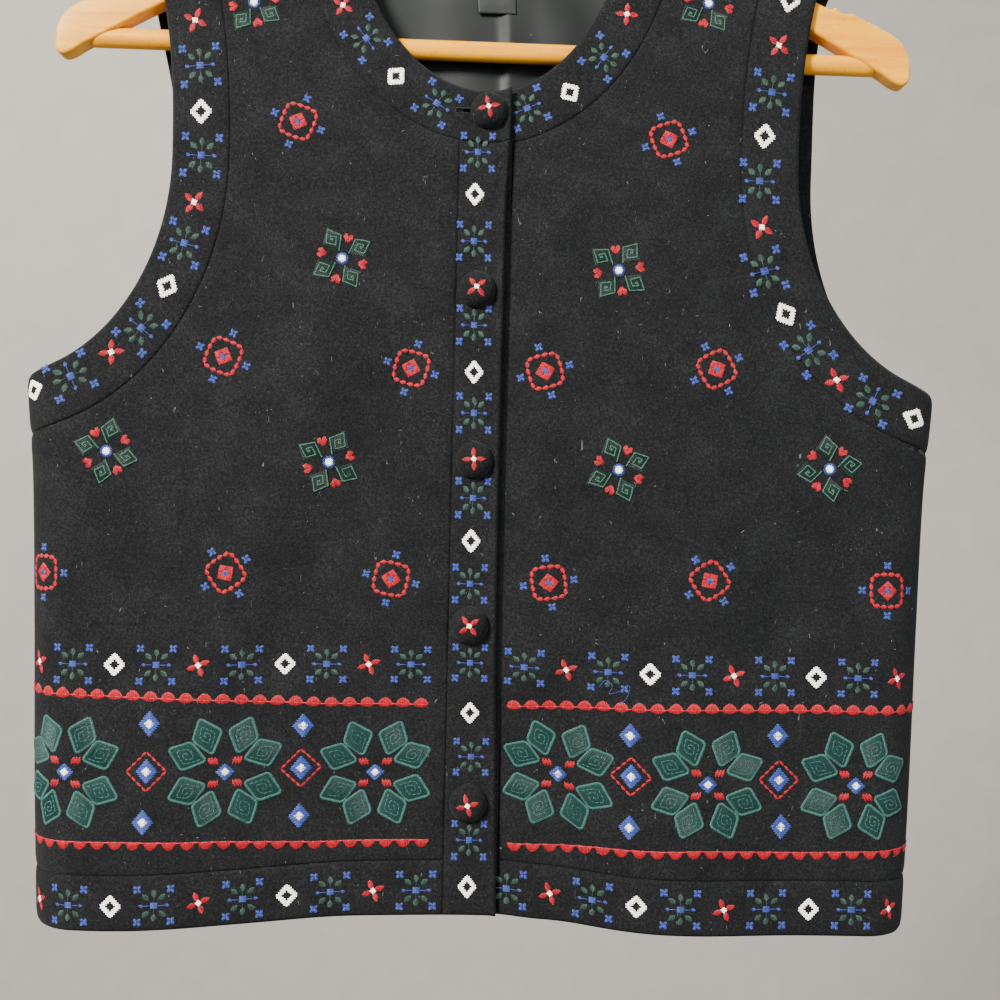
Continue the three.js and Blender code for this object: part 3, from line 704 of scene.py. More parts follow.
for name, (hand, layer) in HANDS.items():
    for part, scoop, cloth in (("front", FRONT_SCOOP, layer), ("back", BACK_SCOOP, BACK)):
        edges = strip(armhole_curve(scoop, ARMHOLE_BAND), armhole_curve(scoop))
        cloth_wall(f"armhole_band_{name}_{part}", cloth, edges, wool, hand=hand, cell=BAND_CELL)
    cloth_wall(f"hem_band_{name}", layer, hem_strip(PLACKET), wool, hand=hand, cell=BAND_CELL)

cloth_wall("hem_band_back", BACK, hem_strip(-SEAM_ACROSS), wool, cell=BAND_CELL)
neck_edges = [both_sides(neck_curve(NECK_BACK, distance)) for distance in (NECK_BAND, 0)]
cloth_wall("neck_band_back", BACK, strip(*neck_edges), wool, cell=BAND_CELL)

# %% [markdown]
# ## Plackets and buttonholes
#
# The placket is a long strip with four upright buttonholes, and the neck band over it has a
# level one. A buttonhole is made by leaving cells out of the wall, on cells small enough to
# give its width. The free edge of the lap stands off the front below it and throws a shadow.

# %% Buttons and buttonholes in numbers
BUTTONS = [(1, -208), (-3, -301), (-2.5, -388), (-3, -472.5), (-2, -570)]
HOLE_LENGTH, HOLE_WIDTH = 20, 1.9
HOLE_BELOW, HOLE_BESIDE = 10.2, 3  # how far a hole passes its button's centre
LAP_LIFT, LAP_LIFT_MORE, LIFT_REACH = 1, 1.2, 4.5
HOLE_CELL = 1.3
LAP = np.array([  # height and across of the lap's free edge, from the hem up
    (-628.5, 12.9), (-560, 11.6), (-480, 10), (-400, 9.8), (-270, 10.4), (-205, 12.4),
])


def lap_edge(height):
    """From row to row of LAP the edge eases with a smoothstep."""
    i = np.clip(np.searchsorted(LAP[:, 0], height), 1, len(LAP) - 1)
    return mix(LAP[i - 1, 1], LAP[i, 1], smoothstep(height, LAP[i - 1, 0], LAP[i, 0]))


def lapped(edges, hand=1):
    """Edges of the over front, narrowed past the centre line to the lap's own width."""
    share = [np.where(e[:, 0] * hand > 0, lap_edge(e[:, 1]) / PLACKET, 1) for e in edges]
    return [np.stack([e[:, 0] * s, e[:, 1]], -1) for e, s in zip(edges, share)]


def upright_holes(across, height):
    inside = np.zeros(across.shape, bool)
    for centre, level in BUTTONS[1:]:
        above = height - (level - HOLE_BELOW)
        inside |= (np.abs(across - centre) < HOLE_WIDTH / 2) & (above > 0) & (above < HOLE_LENGTH)
    return inside


def level_hole(across, height):
    centre, level = BUTTONS[0]
    back = centre + HOLE_BESIDE - across
    return (np.abs(height - level) < HOLE_WIDTH / 2) & (back > 0) & (back < HOLE_LENGTH)


def placket_edges(start, end):
    top = neck_curve(NECK_FRONT, NECK_BAND, start)
    top = along(top, np.interp(np.linspace(start, end, 60), top[:, 0], arc_length(top)))
    return (
        line((start, HEM), (end, HEM)),
        top,
        line((start, HEM), top[0]),
        line((end, HEM), top[-1]),
    )


def neck_band_edges(start):
    return strip(neck_curve(NECK_FRONT, NECK_BAND, start), neck_curve(NECK_FRONT, 0, start))


cloth_wall("placket_left", FRONT_LEFT, placket_edges(-UNDER_EDGE, PLACKET), wool, cell=2)
cloth_wall("neck_band_left", FRONT_LEFT, neck_band_edges(-UNDER_EDGE), wool, cell=2)


def lap_lift(across, height):
    """The lap's free edge stands off the front below: 2.2 mm at the neck, 1 mm at the hem."""
    edge = lap_edge(height)
    lift = LAP_LIFT + LAP_LIFT_MORE * smoothstep(height, -600, -260)
    return smoothstep(across, edge - LIFT_REACH, edge) * lift


cloth_wall("placket_right", FRONT_RIGHT, lapped(placket_edges(-PLACKET, PLACKET)), wool,
           cell=HOLE_CELL, hole=upright_holes, surface=lap_lift)
cloth_wall("neck_band_right", FRONT_RIGHT, lapped(neck_band_edges(-PLACKET), -1), wool,
           cell=HOLE_CELL, hand=-1, hole=level_hole, surface=lap_lift)

# %% [markdown]
# ## Covered buttons
#
# A covered button is a metal dome with a circle of the same wool stretched over it and a cross
# embroidered on top. The dome is a turned profile. It leans with the cloth under it, and its
# short shank goes down through the buttonhole.

# %% Button frames
BUTTON_RADIUS, BUTTON_HEIGHT, SHANK_RADIUS = 9.5, 7.2, 1.3
BUTTON_GAP = 0.3  # between a button and the cloth under it


def button_frame(across, height):
    """The button's foot and three unit vectors: sideways, up the cloth and outward."""
    out = outward(FRONT_RIGHT, across, height)
    foot = on_cloth(FRONT_RIGHT, across, height, WOOL / 2 + BUTTON_GAP)
    sideways = np.cross([0.0, 0.0, 1.0], out) * -1
    sideways /= np.linalg.norm(sideways)
    return foot, sideways, np.cross(sideways, out) * -1, out


def dome_height(radius):
    """h (1 - (r / R)^2.5)^0.5: flat in the middle and steep at the rim."""
    return BUTTON_HEIGHT * np.sqrt(np.clip(1 - (radius / BUTTON_RADIUS) ** 2.5, 0, 1))


def on_button(i):
    """Takes a point of the flat chart to the dome, `rise` off it."""
    foot, sideways, up, out = button_frame(*BUTTONS[i])

    def place(x, y, rise):
        radius = np.hypot(x, y)
        lean = (radius / BUTTON_RADIUS) ** 3
        height = dome_height(radius) + rise * (1 - 0.3 * lean)
        spread = 1 + 0.5 * rise * lean / np.maximum(radius, 1)
        return (
            foot + (x * spread)[..., None] * sideways + (y * spread)[..., None] * up
            + height[..., None] * out
        )

    return place


# %% Domes and shanks
SPOKES = 56
TURNED_IN = [(8.4, 0), (9.1, 0.25)]  # radius and height of the cloth's turned edge, from below
RIM_HEIGHT = 0.8
rim = BUTTON_RADIUS * np.sin(np.linspace(0, math.pi / 2, 17))[::-1]
profile = np.vstack(
    [
        [(0, -WOOL - LAYER_GAP), (SHANK_RADIUS, -WOOL - LAYER_GAP), (SHANK_RADIUS, 0)],
        TURNED_IN,
        np.stack([rim, np.maximum(dome_height(rim), RIM_HEIGHT)], -1),
    ]
)
spin = np.linspace(0, 2 * math.pi, SPOKES, endpoint=False)
turned = ring_faces(len(profile), SPOKES)
for i, spot in enumerate(BUTTONS):
    foot, sideways, up, out = button_frame(*spot)
    radius, height = profile[:, 0, None, None], profile[:, 1, None, None]
    ring = np.cos(spin)[:, None] * sideways + np.sin(spin)[:, None] * up
    points = (foot + radius * ring + height * out).reshape(-1, 3)
    stand_in(f"button_{i + 1}", f"button_{i + 1}_dome", points, turned, wool)
print(len(turned), "faces to a button")

# %% [markdown]
# ## Lining and labels
#
# The back is lined with polyester satin, which has a soft long highlight and creases a
# little. It has a pleat down the centre for ease of movement, and that is real shape, so the
# neck opening shows it. Ripples only ever go inward, because the wool is on the other side.


# %% Lining material
def satin_lining(name, dark, light):
    material, tree, shader, where = finish_of(
        f"polyester_satin_{name}", Roughness=0.46, Specular_IOR_Level=0.16, Anisotropic=0.5,
    )
    threads = add(tree, "TexWave", {
        "Vector": where, "Scale": per_metre(0.9), "Distortion": 1.5, "Detail": 2,
    }, bands_direction="Z")
    cloud = add(tree, "TexNoise", {"Vector": where, "Scale": per_metre(26), "Detail": 3})
    both = add(tree, "Mix", {"Factor": 0.75, "A": threads.outputs["Fac"], "B": cloud.outputs["Fac"]})
    colour = add(tree, "ValToRGB", {"Fac": both.outputs[0]}, ((0.25, dark), (0.75, light)))
    dress(tree, shader, colour.outputs["Color"], both.outputs[0], strength=0.2, depth=0.12)
    return material


# The lining's two shades are painted far darker than its grey-green satin. This is painted shade for
# the closed inside of the waistcoat, which the lamps here reach through the neck.
lining_satin_painted_shade = satin_lining("lining", "#080b0c", "#121818")
tab_satin = satin_lining("tab", "#121414", "#1e2221")
tape, tree, shader, where = finish_of(
    "woven_polyester_tape_white",
    Roughness=0.7,
    Specular_IOR_Level=0.3,
    Base_Color=linear("#dedad0"),
)
weave = add(tree, "TexWave", {"Vector": where, "Scale": per_metre(1.2)}, bands_direction="X")
dress(tree, shader, None, weave.outputs["Fac"], strength=0.4, depth=0.1)

# %% Lining and labels
LINING, LINING_GAP = 1.0, 0.65
LINING_OFFSET = -(WOOL / 2 + LINING_GAP + LINING / 2)
PLEAT_DEPTH, CREASE_DEPTH = 2.4, 1.2
PLEAT_FOLD, PLEAT_END = 4, 24  # across, from the pleat's sharp side to where it dies out


def ripples(across, height):
    """A centre pleat as a ramp with a sharp side, and slanting creases as sines. Both fade
    towards the shoulder, where the lining touches the wool."""
    pleat = smoothstep(across, 1.5, PLEAT_FOLD) * (1 - smoothstep(across, PLEAT_FOLD, PLEAT_END))
    crease = np.sin(0.11 * across + 0.05 * height) * np.sin(0.031 * height - 0.02 * across + 1)
    slack = smoothstep(shoulder_height(across) - height, 18, 70)
    return -(PLEAT_DEPTH * pleat + CREASE_DEPTH * (1 + crease) * (1 - 0.6 * pleat)) * slack


end = up_to_shoulder(back_side, WRAP_LENGTH)
start = up_to_shoulder(neck_curve(NECK_BACK, NECK_BAND), WRAP_LENGTH)
level = np.linspace(start[-1, 0], end[-1, 0], 120)
top = np.vstack([start, np.stack([level, shoulder_height(level) - WRAP_LENGTH], -1)[1:]])
cloth_wall("back_lining", BACK, back_edges(top, end), lining_satin_painted_shade, LINING, LINING_OFFSET,
           cell=4.0, surface=ripples)

TAG_HALF = 10  # half the width of the label and the tab
TAB_CLEARANCE = 1.6  # the tab hangs clear of the lining's pleat


def tag(name, top, bottom, offset, material):
    edges = strip(*[line((-TAG_HALF, level), (TAG_HALF, level)) for level in (bottom, top)])
    cloth_wall(name, BACK, edges, material, LINING, offset, cell=1.5)


tag("neck_label", -116, -137, LINING_OFFSET, tape)
tag("neck_tab", -140, -149, LINING_OFFSET - LINING - LINING_GAP - TAB_CLEARANCE, tab_satin)

# %% [markdown]
# ## The hanger
#
# The arms are sawn from a beech plank and moulded, then varnished. Beech shows short brown
# flecks along the grain and a very even honey colour. An arm is one section swept from tip to
# tip, with its upper and lower edges read from curves. The bar and the hook are both rods swept
# along a line in the same plane.


# %% Beech and steel
def varnished_beech():
    material, tree, shader, where = finish_of(
        "beech_satin_varnish", Roughness=0.45, Specular_IOR_Level=0.15, Coat_Weight=0.05,
        Coat_Roughness=0.25,
    )
    grain = add(tree, "Mapping", {"Vector": where, "Scale": (0.08, 1, 1)})
    rings = add(tree, "TexNoise", {
        "Vector": grain.outputs[0], "Scale": per_metre(5), "Detail": 5, "Distortion": 0.6,
    })
    long = add(tree, "Mapping", {"Vector": where, "Scale": (0.3, 1, 1)})
    fleck = add(tree, "TexVoronoi", {"Vector": long.outputs[0], "Scale": per_metre(1.5)})
    dark = add(tree, "MapRange", {
        "Value": fleck.outputs["Distance"], "From Min": 0.09, "From Max": 0.16,
    })
    honey = ((0.3, "#c07a02"), (0.5, "#d08c04"), (0.7, "#da9a0a"))
    base = add(tree, "ValToRGB", {"Fac": rings.outputs["Fac"]}, honey).outputs["Color"]
    mixed = {"Factor": dark.outputs[0], "A": linear("#a8620c"), "B": base}
    colour = add(tree, "Mix", mixed, data_type="RGBA")
    dress(tree, shader, colour.outputs["Result"], rings.outputs["Fac"], strength=0.15, depth=0.1)
    return material


beech = varnished_beech()
steel, tree, shader, where = finish_of(
    "zinc_plated_steel_wire", Metallic=1, Roughness=0.28, Anisotropic=0.4
)
dull = add(tree, "TexNoise", {"Vector": where, "Scale": per_metre(4), "Detail": 4})
zinc = ((0.3, "#b4b6b8"), (0.7, "#d2d3d4"))
dress(tree, shader, add(tree, "ValToRGB", {"Fac": dull.outputs["Fac"]}, zinc).outputs["Color"])

# %% Arms
HANGER_DEPTH, ARM_HEIGHT, NECK_HEIGHT = 12, 19.5, 34
HANGER_TILT, HANGER_EASE, ROUNDING = math.radians(0.85), 3.6, 1.9
ARM_LOBE = 4  # how much taller an arm grows towards its tip
ARM_POINTS = 64  # round one section
TIP = np.array([(210, -154.6), (214.5, -157), (219, -161), (222, -166.5), (223.8, -173),
                (223.8, -178), (222.5, -181.5), (219.5, -183), (215, -181.5), (210, -178.2)])
NOTCH, NOTCH_RADIUS, NOTCH_ABOVE = 189.5, 6.1, 4.4
BAR_LEVEL, BAR_RADIUS, BAR_END = -172.1, 5.2, 206


def tilted(points):
    """Turned clockwise, as seen from the front, about the point where the hook meets its rod."""
    c, s = math.cos(HANGER_TILT), math.sin(HANGER_TILT)
    x, y, z = np.moveaxis(points, -1, 0)
    return np.stack([x * c + z * s, y, z * c - x * s], -1)


def arm_edges(x):
    """Upper and lower edge at |x| up to 210, where the tip begins."""
    ease = HANGER_EASE * smoothstep(x, 40, 135) * (1 - smoothstep(x, 180, 186))
    lobe = ARM_LOBE * smoothstep(x, 160, 215)
    neck = (NECK_HEIGHT - ARM_HEIGHT) * (1 - smoothstep(x, 0, 70))
    sag = np.sqrt(np.clip(NOTCH_RADIUS**2 - (x - NOTCH) ** 2, 0, None))
    notch = ridge_height(NOTCH) + NOTCH_ABOVE - sag
    upper = ridge_height(x) - ease
    upper = np.where(np.abs(x - NOTCH) < NOTCH_RADIUS, np.minimum(upper, notch), upper)
    return upper, ridge_height(x) - ARM_HEIGHT - lobe - neck


def smooth_through(points, steps=6):
    """The Catmull-Rom curve through points, `steps` to a span."""
    p = np.vstack([2 * points[0] - points[1], points, 2 * points[-1] - points[-2]])
    t = np.linspace(0, 1, steps, endpoint=False)[:, None, None]
    a, b, c, d = p[:-3], p[1:-2], p[2:-1], p[3:]
    square, cube = 2 * a - 5 * b + 4 * c - d, 3 * b - a - 3 * c + d
    curve = 0.5 * (2 * b + (c - a) * t + square * t**2 + cube * t**3)
    return np.vstack([curve.transpose(1, 0, 2).reshape(-1, points.shape[1]), points[-1:]])


tip = smooth_through(TIP)
x = np.concatenate([np.linspace(0, 170, 86), np.linspace(170, 210, 101)[1:-1]])
turn = int(np.argmax(tip[:, 0]))
stations_x = np.concatenate([x, tip[: turn + 1, 0]])
upper, lower = arm_edges(x)
upper = np.concatenate([upper, tip[: turn + 1, 1]])
lower_tip = np.interp(tip[: turn + 1, 0], tip[turn:, 0][::-1], tip[turn:, 1][::-1])
lower = np.concatenate([lower, lower_tip])
middle, reach = (upper + lower) / 2, (upper - lower) / 2
angle = (np.arange(ARM_POINTS) + 0.5) * 2 * math.pi / ARM_POINTS
# A rounded rectangle: the corner circles' arcs, then the straight sides between them.
side, top_side = np.sign(np.cos(angle)), np.sign(np.sin(angle))
near = np.minimum(ROUNDING, reach)[:, None]
fraction = np.mod(angle, math.pi / 2) / (math.pi / 2)
swing = np.where(side * top_side > 0, fraction, 1 - fraction) * math.pi / 2
past = np.clip((stations_x - stations_x.max()) / ROUNDING + 1, 0, 1)[:, None]
blunt = ROUNDING * (1 - np.sqrt(1 - past**2))
depth = side * (HANGER_DEPTH / 2 - near + near * np.cos(swing) - blunt)
height = middle[:, None] + top_side * (reach[:, None] - near + near * np.sin(swing))
half = np.stack([stations_x[:, None] + 0 * height, depth, height], -1)
arms = np.vstack([half[:0:-1] * (-1, 1, 1), half])
sides = ring_faces(len(arms), ARM_POINTS)
stand_in("hanger_body", "hanger_arms", tilted(arms.reshape(-1, 3)), sides, beech)

# %% Bar and hook
WIRE, HOOK_INNER, HOOK_SEAT, HOOK_STRAIGHT = 1.9, 20, -92, -62
HOOK_START, HOOK_END = math.radians(-40), math.radians(205)
HOOK_LEAD = 12  # how straight the bend leaves the stem and meets the ring
CHAMFER = 0.15  # of a rod's end, as a share of its radius


def swept(node, name, path, radius, sides, material):
    """A rod along a path in the plane y = 0, with a narrow chamfer at both ends."""
    tangent = np.gradient(path, axis=0)
    tangent /= np.linalg.norm(tangent, axis=1, keepdims=True)
    out = np.stack([-tangent[:, 2], 0 * tangent[:, 0], tangent[:, 0]], -1)
    turn = np.linspace(0, 2 * math.pi, sides, endpoint=False)[:, None]
    last = len(path) - 1
    at = np.concatenate([[0, 0], np.arange(last + 1), [last, last]])
    ends = np.array([0.02, 1 - CHAMFER])
    radii = radius * np.concatenate([ends, np.ones(last + 1), ends[::-1]])
    centre = path[at]
    centre[2] += tangent[0] * CHAMFER * radius
    centre[-3] -= tangent[-1] * CHAMFER * radius
    rings = centre[:, None] + radii[:, None, None] * (
        np.cos(turn) * out[at][:, None] + np.sin(turn) * np.array([0, 1.0, 0])
    )
    points = tilted(rings.reshape(-1, 3))
    stand_in(node, name, points, ring_faces(len(at), sides), material)


bar = np.linspace((-BAR_END, 0, BAR_LEVEL), (BAR_END, 0, BAR_LEVEL), 80)
swept("hanger_bar", "hanger_rail", bar, BAR_RADIUS, 40, beech)

ring = HOOK_INNER + WIRE
circle = np.linspace(HOOK_START, HOOK_END, 90)
arc = np.stack([ring * np.cos(circle), 0 * circle, ring * np.sin(circle) - HOOK_INNER], -1)
lead = HOOK_LEAD * np.array([-math.sin(HOOK_START), 0, math.cos(HOOK_START)])
low, high = np.array([0, 0, HOOK_STRAIGHT]), np.array([0, 0, HOOK_STRAIGHT + HOOK_LEAD])
t = np.linspace(0, 1, 30)[1:-1, None]
# A cubic from the stem to the ring that leaves both without a corner.
bend = (1 - t) ** 3 * low + 3 * (1 - t) ** 2 * t * high
bend = bend + 3 * (1 - t) * t**2 * (arc[0] - lead) + t**3 * arc[0]
stem = np.linspace((0, 0, HOOK_SEAT + 0.3), (0, 0, HOOK_STRAIGHT), 12)
swept("hanger_hook", "hanger_wire", np.vstack([stem, bend, arc]), WIRE, 20, steel)

# %% [markdown]
# ## Stitches
#
# The embroidery is machine satin stitch: short parallel threads, side by side, which is why a
# leaf catches light on one slope and a petal on another. A stitch here is six numbers on the
# pattern: the two ends, the width of the thread, and how far it lies on top of other stitches.
# A flat picture of flowers would be simpler, but it would have no relief and no thread.

# %% Stitches
THREAD = 0.5
PITCH = 0.84  # from one thread to the next, as a share of its width
SHORTEST = 0.35


def rows_of(start, end, width=THREAD, level=0.0):
    rest = np.ones((len(start), 1)) * (width, level)
    return np.hstack([start, end, rest])


def fill(corners, angle=0.0, thread=THREAD, level=0.0, ragged=0.0):
    """Parallel stitches over a convex polygon. A stitch lies on c n + t d, and every edge of the
    polygon, as a half plane, bounds t from above or from below. Every other stitch passes the
    edge by `ragged`."""
    corners = np.array(corners, float)
    turn = math.radians(angle)
    d, n = np.array([math.cos(turn), math.sin(turn)]), np.array([-math.sin(turn), math.cos(turn)])
    reach, edge = corners @ n, np.roll(corners, -1, 0) - corners
    levels = np.arange(reach.min() + thread / 2, reach.max(), thread * PITCH)[:, None]
    winding = np.sign(np.sum(corners[:, 0] * edge[:, 1] - corners[:, 1] * edge[:, 0]))
    out = winding * np.stack([edge[:, 1], -edge[:, 0]], -1)
    room = ((corners - levels[:, None] * n) * out).sum(-1)
    slope = out @ d
    limit = room / np.where(np.abs(slope) < 1e-9, np.nan, slope)
    high = np.nanmin(np.where(slope > 1e-9, limit, np.nan), axis=1, keepdims=True)
    low = np.nanmax(np.where(slope < -1e-9, limit, np.nan), axis=1, keepdims=True)
    past = ragged * (np.arange(len(levels)) % 2)[:, None]
    rows = rows_of(levels * n + (low - past) * d, levels * n + (high + past) * d, thread, level)
    return rows[(high - low)[:, 0] > SHORTEST]


def satin(path, width, thread=THREAD, level=0.0, slant=0.0):
    """Stitches across a path, from p - w n / 2 to p + w n / 2."""
    path = np.array(path, float)
    at = np.arange(thread / 2, arc_length(path)[-1], thread * PITCH)
    p, q = along(path, at), along(path, at + 0.05)
    tangent = (q - along(path, at - 0.05)) / 0.1
    across = np.stack([-tangent[:, 1], tangent[:, 0]], -1) + slant * tangent
    return rows_of(p - across * width / 2, p + across * width / 2, thread, level)


def running(path, length, thread, gap=0.0, level=0.0):
    """Stitches end to end along a path."""
    path = np.array(path, float)
    count = max(1, round(arc_length(path)[-1] / length))
    at = np.linspace(0, arc_length(path)[-1], count + 1)
    p, q = along(path, at[:-1]), along(path, at[1:])
    return rows_of(p + (q - p) * gap / 2, q - (q - p) * gap / 2, thread, level)


def lens(start, end, width):
    """A leaf outline from start to end: x along it, and y = +-w/2 (1 - (2x - 1)^2)."""
    start, end = np.array(start, float), np.array(end, float)
    x = np.linspace(0, 1, 7)[:, None]
    side = np.array([start[1] - end[1], end[0] - start[0]]) / np.linalg.norm(end - start)
    bulge = width / 2 * (1 - (2 * x - 1) ** 2) * side
    middle = start + (end - start) * x
    return np.vstack([middle - bulge, (middle + bulge)[-2:0:-1]])


def rounded(corners, share=0.09):
    """The polygon with every corner cut twice, each time at `share` of the sides beside it."""
    for _ in range(2):
        corners = np.array(corners, float)
        after, before = np.roll(corners, -1, 0), np.roll(corners, 1, 0)
        cut = [mix(corners, before, share), mix(corners, after, share)]
        corners = np.stack(cut, 1).reshape(-1, 2)
    return corners


def spiral(corners, turns, step):
    """Round a polygon from its first corner, each corner `step` nearer the middle per turn."""
    corners = np.array(corners, float)
    middle, count = corners.mean(0), len(corners)
    i = np.arange(int(turns * count) + 1)
    reach = np.linalg.norm(corners - middle, axis=1).mean()
    shrink = np.clip(1 - i / count * step / reach, 0.06, 1)[:, None]
    return middle + (corners[i % count] - middle) * shrink


# %% [markdown]
# ## Charts
#
# A chart is a dictionary from thread colour to stitches, drawn round its own middle. Charts
# are added, turned and mirrored, so a star is one petal used eight times.


# %% Charts
def add_charts(*charts):
    colours = dict.fromkeys(colour for chart in charts for colour in chart)
    return {c: np.vstack([chart[c] for chart in charts if c in chart]) for c in colours}


def moved(chart, across=0.0, height=0.0, turn=0.0, flip=(1, 1)):
    """The chart mirrored or drawn out by `flip`, turned anticlockwise in degrees, and moved."""
    c, s = math.cos(math.radians(turn)), math.sin(math.radians(turn))
    spin = np.array([[c, s], [-s, c]])
    result = {}
    for colour, rows in chart.items():
        ends = rows[:, :4].reshape(-1, 2, 2) * flip @ spin + (across, height)
        result[colour] = np.hstack([ends.reshape(-1, 4), rows[:, 4:]])
    return result


def around(chart, count, start=0.0):
    return add_charts(*[moved(chart, turn=start + 360 * i / count) for i in range(count)])


def four_ways(chart):
    return add_charts(*[moved(chart, flip=(x, y)) for x in (1, -1) for y in (1, -1)])


def diamond(half, tall=1.0):
    return [(half, 0), (0, half * tall), (-half, 0), (0, -half * tall)]


def chain(path, length, width, angles):
    """Leaf-shaped links end to end along a path, each sewn at its own angle."""
    links = running(path, length, 1, gap=0.02)
    leaves = zip(links, angles)
    return np.vstack([fill(lens(row[:2], row[2:4], width), angle, 0.5) for row, angle in leaves])


floret = around({"blue": fill(lens((0.1, 0.1), (1.8, 1.8), 1.8), 95, 0.45)}, 4)
leaf = fill(lens((0, 4.1), (0, 8.2), 2.9), 28)
side_leaf = moved({"green": fill(lens((3.7, 0), (8.1, 0), 2.9), 62)}, turn=46)
snowflake = add_charts(
    {"blue": fill([(-1.9, -1.5), (1.9, -1.5), (1.9, 1.5), (-1.9, 1.5)], 0, 0.45)},
    {"blue": fill(lens((5.2, 0), (7.6, 0), 1.9), 60, 0.4)},
    {"blue": fill(lens((-7.6, 0), (-5.2, 0), 1.9), 60, 0.4)},
    {"blue": running([(-5.4, 0), (5.4, 0)], 3.6, 0.35)},
    {"green": running([(0, -4.6), (0, 4.6)], 3, 0.35)},
    {"green": leaf},
    moved({"green": leaf}, flip=(1, -1)),
    four_ways(side_leaf),
    four_ways(moved(floret, 8.3, 8.2)),
)

ring_side = [(5.5, 0), (0, 5.9), (0, 2.8), (2.8, 0)]
white_diamond = four_ways({"white": fill(ring_side, 0, 0.6, 0, 0.5)})

petal = {"red": fill(lens((0.6, 0), (6.1, 0), 3.0), 55, 0.45)}
cross = add_charts(around(petal, 4, 22), {"white": fill(diamond(1.7), 22, 0.4, 0.25)})

# %% [markdown]
# The larger figures are built the same way. A leaf of the rose is a dark fill with a raised spiral
# sewn over it, and a petal of the star has a raised rim and spiral as well. The spiral and the rim
# are sewn in a lighter shade of the same colour. That lighter shade is painted highlight: it stands
# for the light that their satin catches. A carnation is a chain of small leaves.

# %% Rose, carnation, star
block = [(2.6, 3.2), (3.3, 11.7), (12.4, 13.3), (11.6, 3.8)]
rose_leaf = {
    "dark_green": fill(block, 45, 0.55),
    # The spiral is real raised stitching; its lighter green is a painted highlight.
    "light_green": satin(spiral(block, 2.6, 3.1), 0.7, 0.6, 0.45),
}
half_heart = [(0, 7.9), (2.5, 10.8), (2.2, 12.8), (1.1, 13.3), (0, 11.9)]
half_heart = {"red": fill(half_heart, 80, 0.55)}
heart = add_charts(half_heart, moved(half_heart, flip=(-1, 1)))
ray = {"blue": rows_of(np.array([[1.2, 0.0]]), np.array([[3.3, 0.0]]), 0.45)}
bright_ray = {"white": rows_of(np.array([[0.1, 0.0]]), np.array([[2.1, 0.0]]), 0.45, 0.2)}
eye_of_rose = add_charts(around(ray, 26), around(bright_ray, 14))
rose = add_charts(four_ways(rose_leaf), around(heart, 4), eye_of_rose)

corner = np.array([(8.2, 0), (8.2, 6.4), (6.4, 8.2), (0, 8.2)], float)
links = chain(corner, 3.8, 2.3, (30, 30, 120, 120))
inner_petal = [(0, 0), (2.6, 2.6), (0, 5.2), (-2.6, 2.6)]
carnation = add_charts(
    around({"red": np.vstack([links, running(corner, 3.8, 0.5)])}, 4),
    around({"red": fill(inner_petal, 90, 0.6)}, 4),
    {"blue": fill(diamond(1.9), 45, 0.4, 0.25)},
    around(moved(floret, 12.7, 0), 4),
)

kite = [(6.2, 9.2), (1.6, 21.4), (12.7, 27.9), (16.0, 16.6)]
kite_rim = rounded(kite)
whorl = spiral([(7.1, 12.0), (4.2, 20.6), (12.1, 25.2), (14.2, 17.2)], 2.7, 2.6)
rim_stitches = satin(np.vstack([kite_rim, kite_rim[:1]]), 1.5, 0.56, 0.25)
star_petal = {
    "dark_teal": fill(kite_rim, 35, 0.6),
    # The rim and the spiral are real raised stitches; their lighter blue-green is a painted
    # highlight.
    "teal": np.vstack([rim_stitches, running(whorl, 2.4, 0.6, -0.05, 0.3)]),
}
mirrored = {
    colour: np.hstack([rows[:, [1, 0, 3, 2]], rows[:, 4:]]) for colour, rows in star_petal.items()
}
strokes = [fill(lens((x - 0.9, 3.7), (x + 0.9, 8.1), 1.7), 66, 0.55) for x in (4.4, 5.9, 7.4)]
eye_of_star = {
    "blue": fill(diamond(4.7, 0.95), 0, 0.6, 0, 0.5),
    "white": fill(diamond(2.4), 90, 0.5, 0.25),
}
star = add_charts(
    four_ways(star_petal), four_ways(mirrored), four_ways({"red": np.vstack(strokes)}), eye_of_star
)

small_diamond = {
    "blue": fill(diamond(5.4, 1.17), 0, 0.62, 0, 0.55),
    "white": fill(diamond(2.6), 90, 0.5, 0.25, 0.3),
}
side_chain = chain([(10, 0), (0, 10)], 3.5, 1.4, (0, 0, 0, 0))
chain_diamond = add_charts(small_diamond, around({"red": side_chain}, 4))
figures = {"snowflake": snowflake, "rose": rose, "carnation": carnation, "star": star}
print({name: sum(map(len, chart.values())) for name, chart in figures.items()}, "stitches")

# %% [markdown]
# ## Where each figure goes
#
# The figures stand in rows. The borders repeat four small ones, snowflake (B), cross (R),
# snowflake and white diamond (W), about 21 mm apart. Along a curved band each is turned with
# the band.

# %% Places
SMALL = {"B": snowflake, "R": cross, "W": white_diamond}
ARMHOLES = [  # figure, across, height, turn
    ("R", -151.9, -163.0, 9), ("B", -148.3, -187.1, 6), ("W", -146.7, -211.6, 3),
    ("B", -145.8, -234.5, -2), ("R", -148.5, -259.0, -9), ("B", -152.8, -280.4, -15),
    ("W", -160.6, -302.7, -24), ("B", -172.9, -324.5, -38), ("R", -187.5, -337.1, -54),
    ("B", -207.7, -349.8, -64), ("W", -227.8, -356.7, -71), ("W", -157.5, -140, 12),
    ("R", 150.5, -169.1, -8), ("B", 146.8, -194.4, -8), ("W", 143.2, -217.8, -7),
    ("B", 140.8, -241.4, -1), ("R", 142.0, -265.3, 4), ("B", 143.7, -288.1, 16),
    ("W", 154.6, -310.0, 30), ("B", 166.4, -328.2, 38), ("R", 180.7, -343.2, 52),
    ("B", 199.1, -353.5, 65), ("W", 220.2, -361.9, 68), ("W", 156, -145, -12),
]
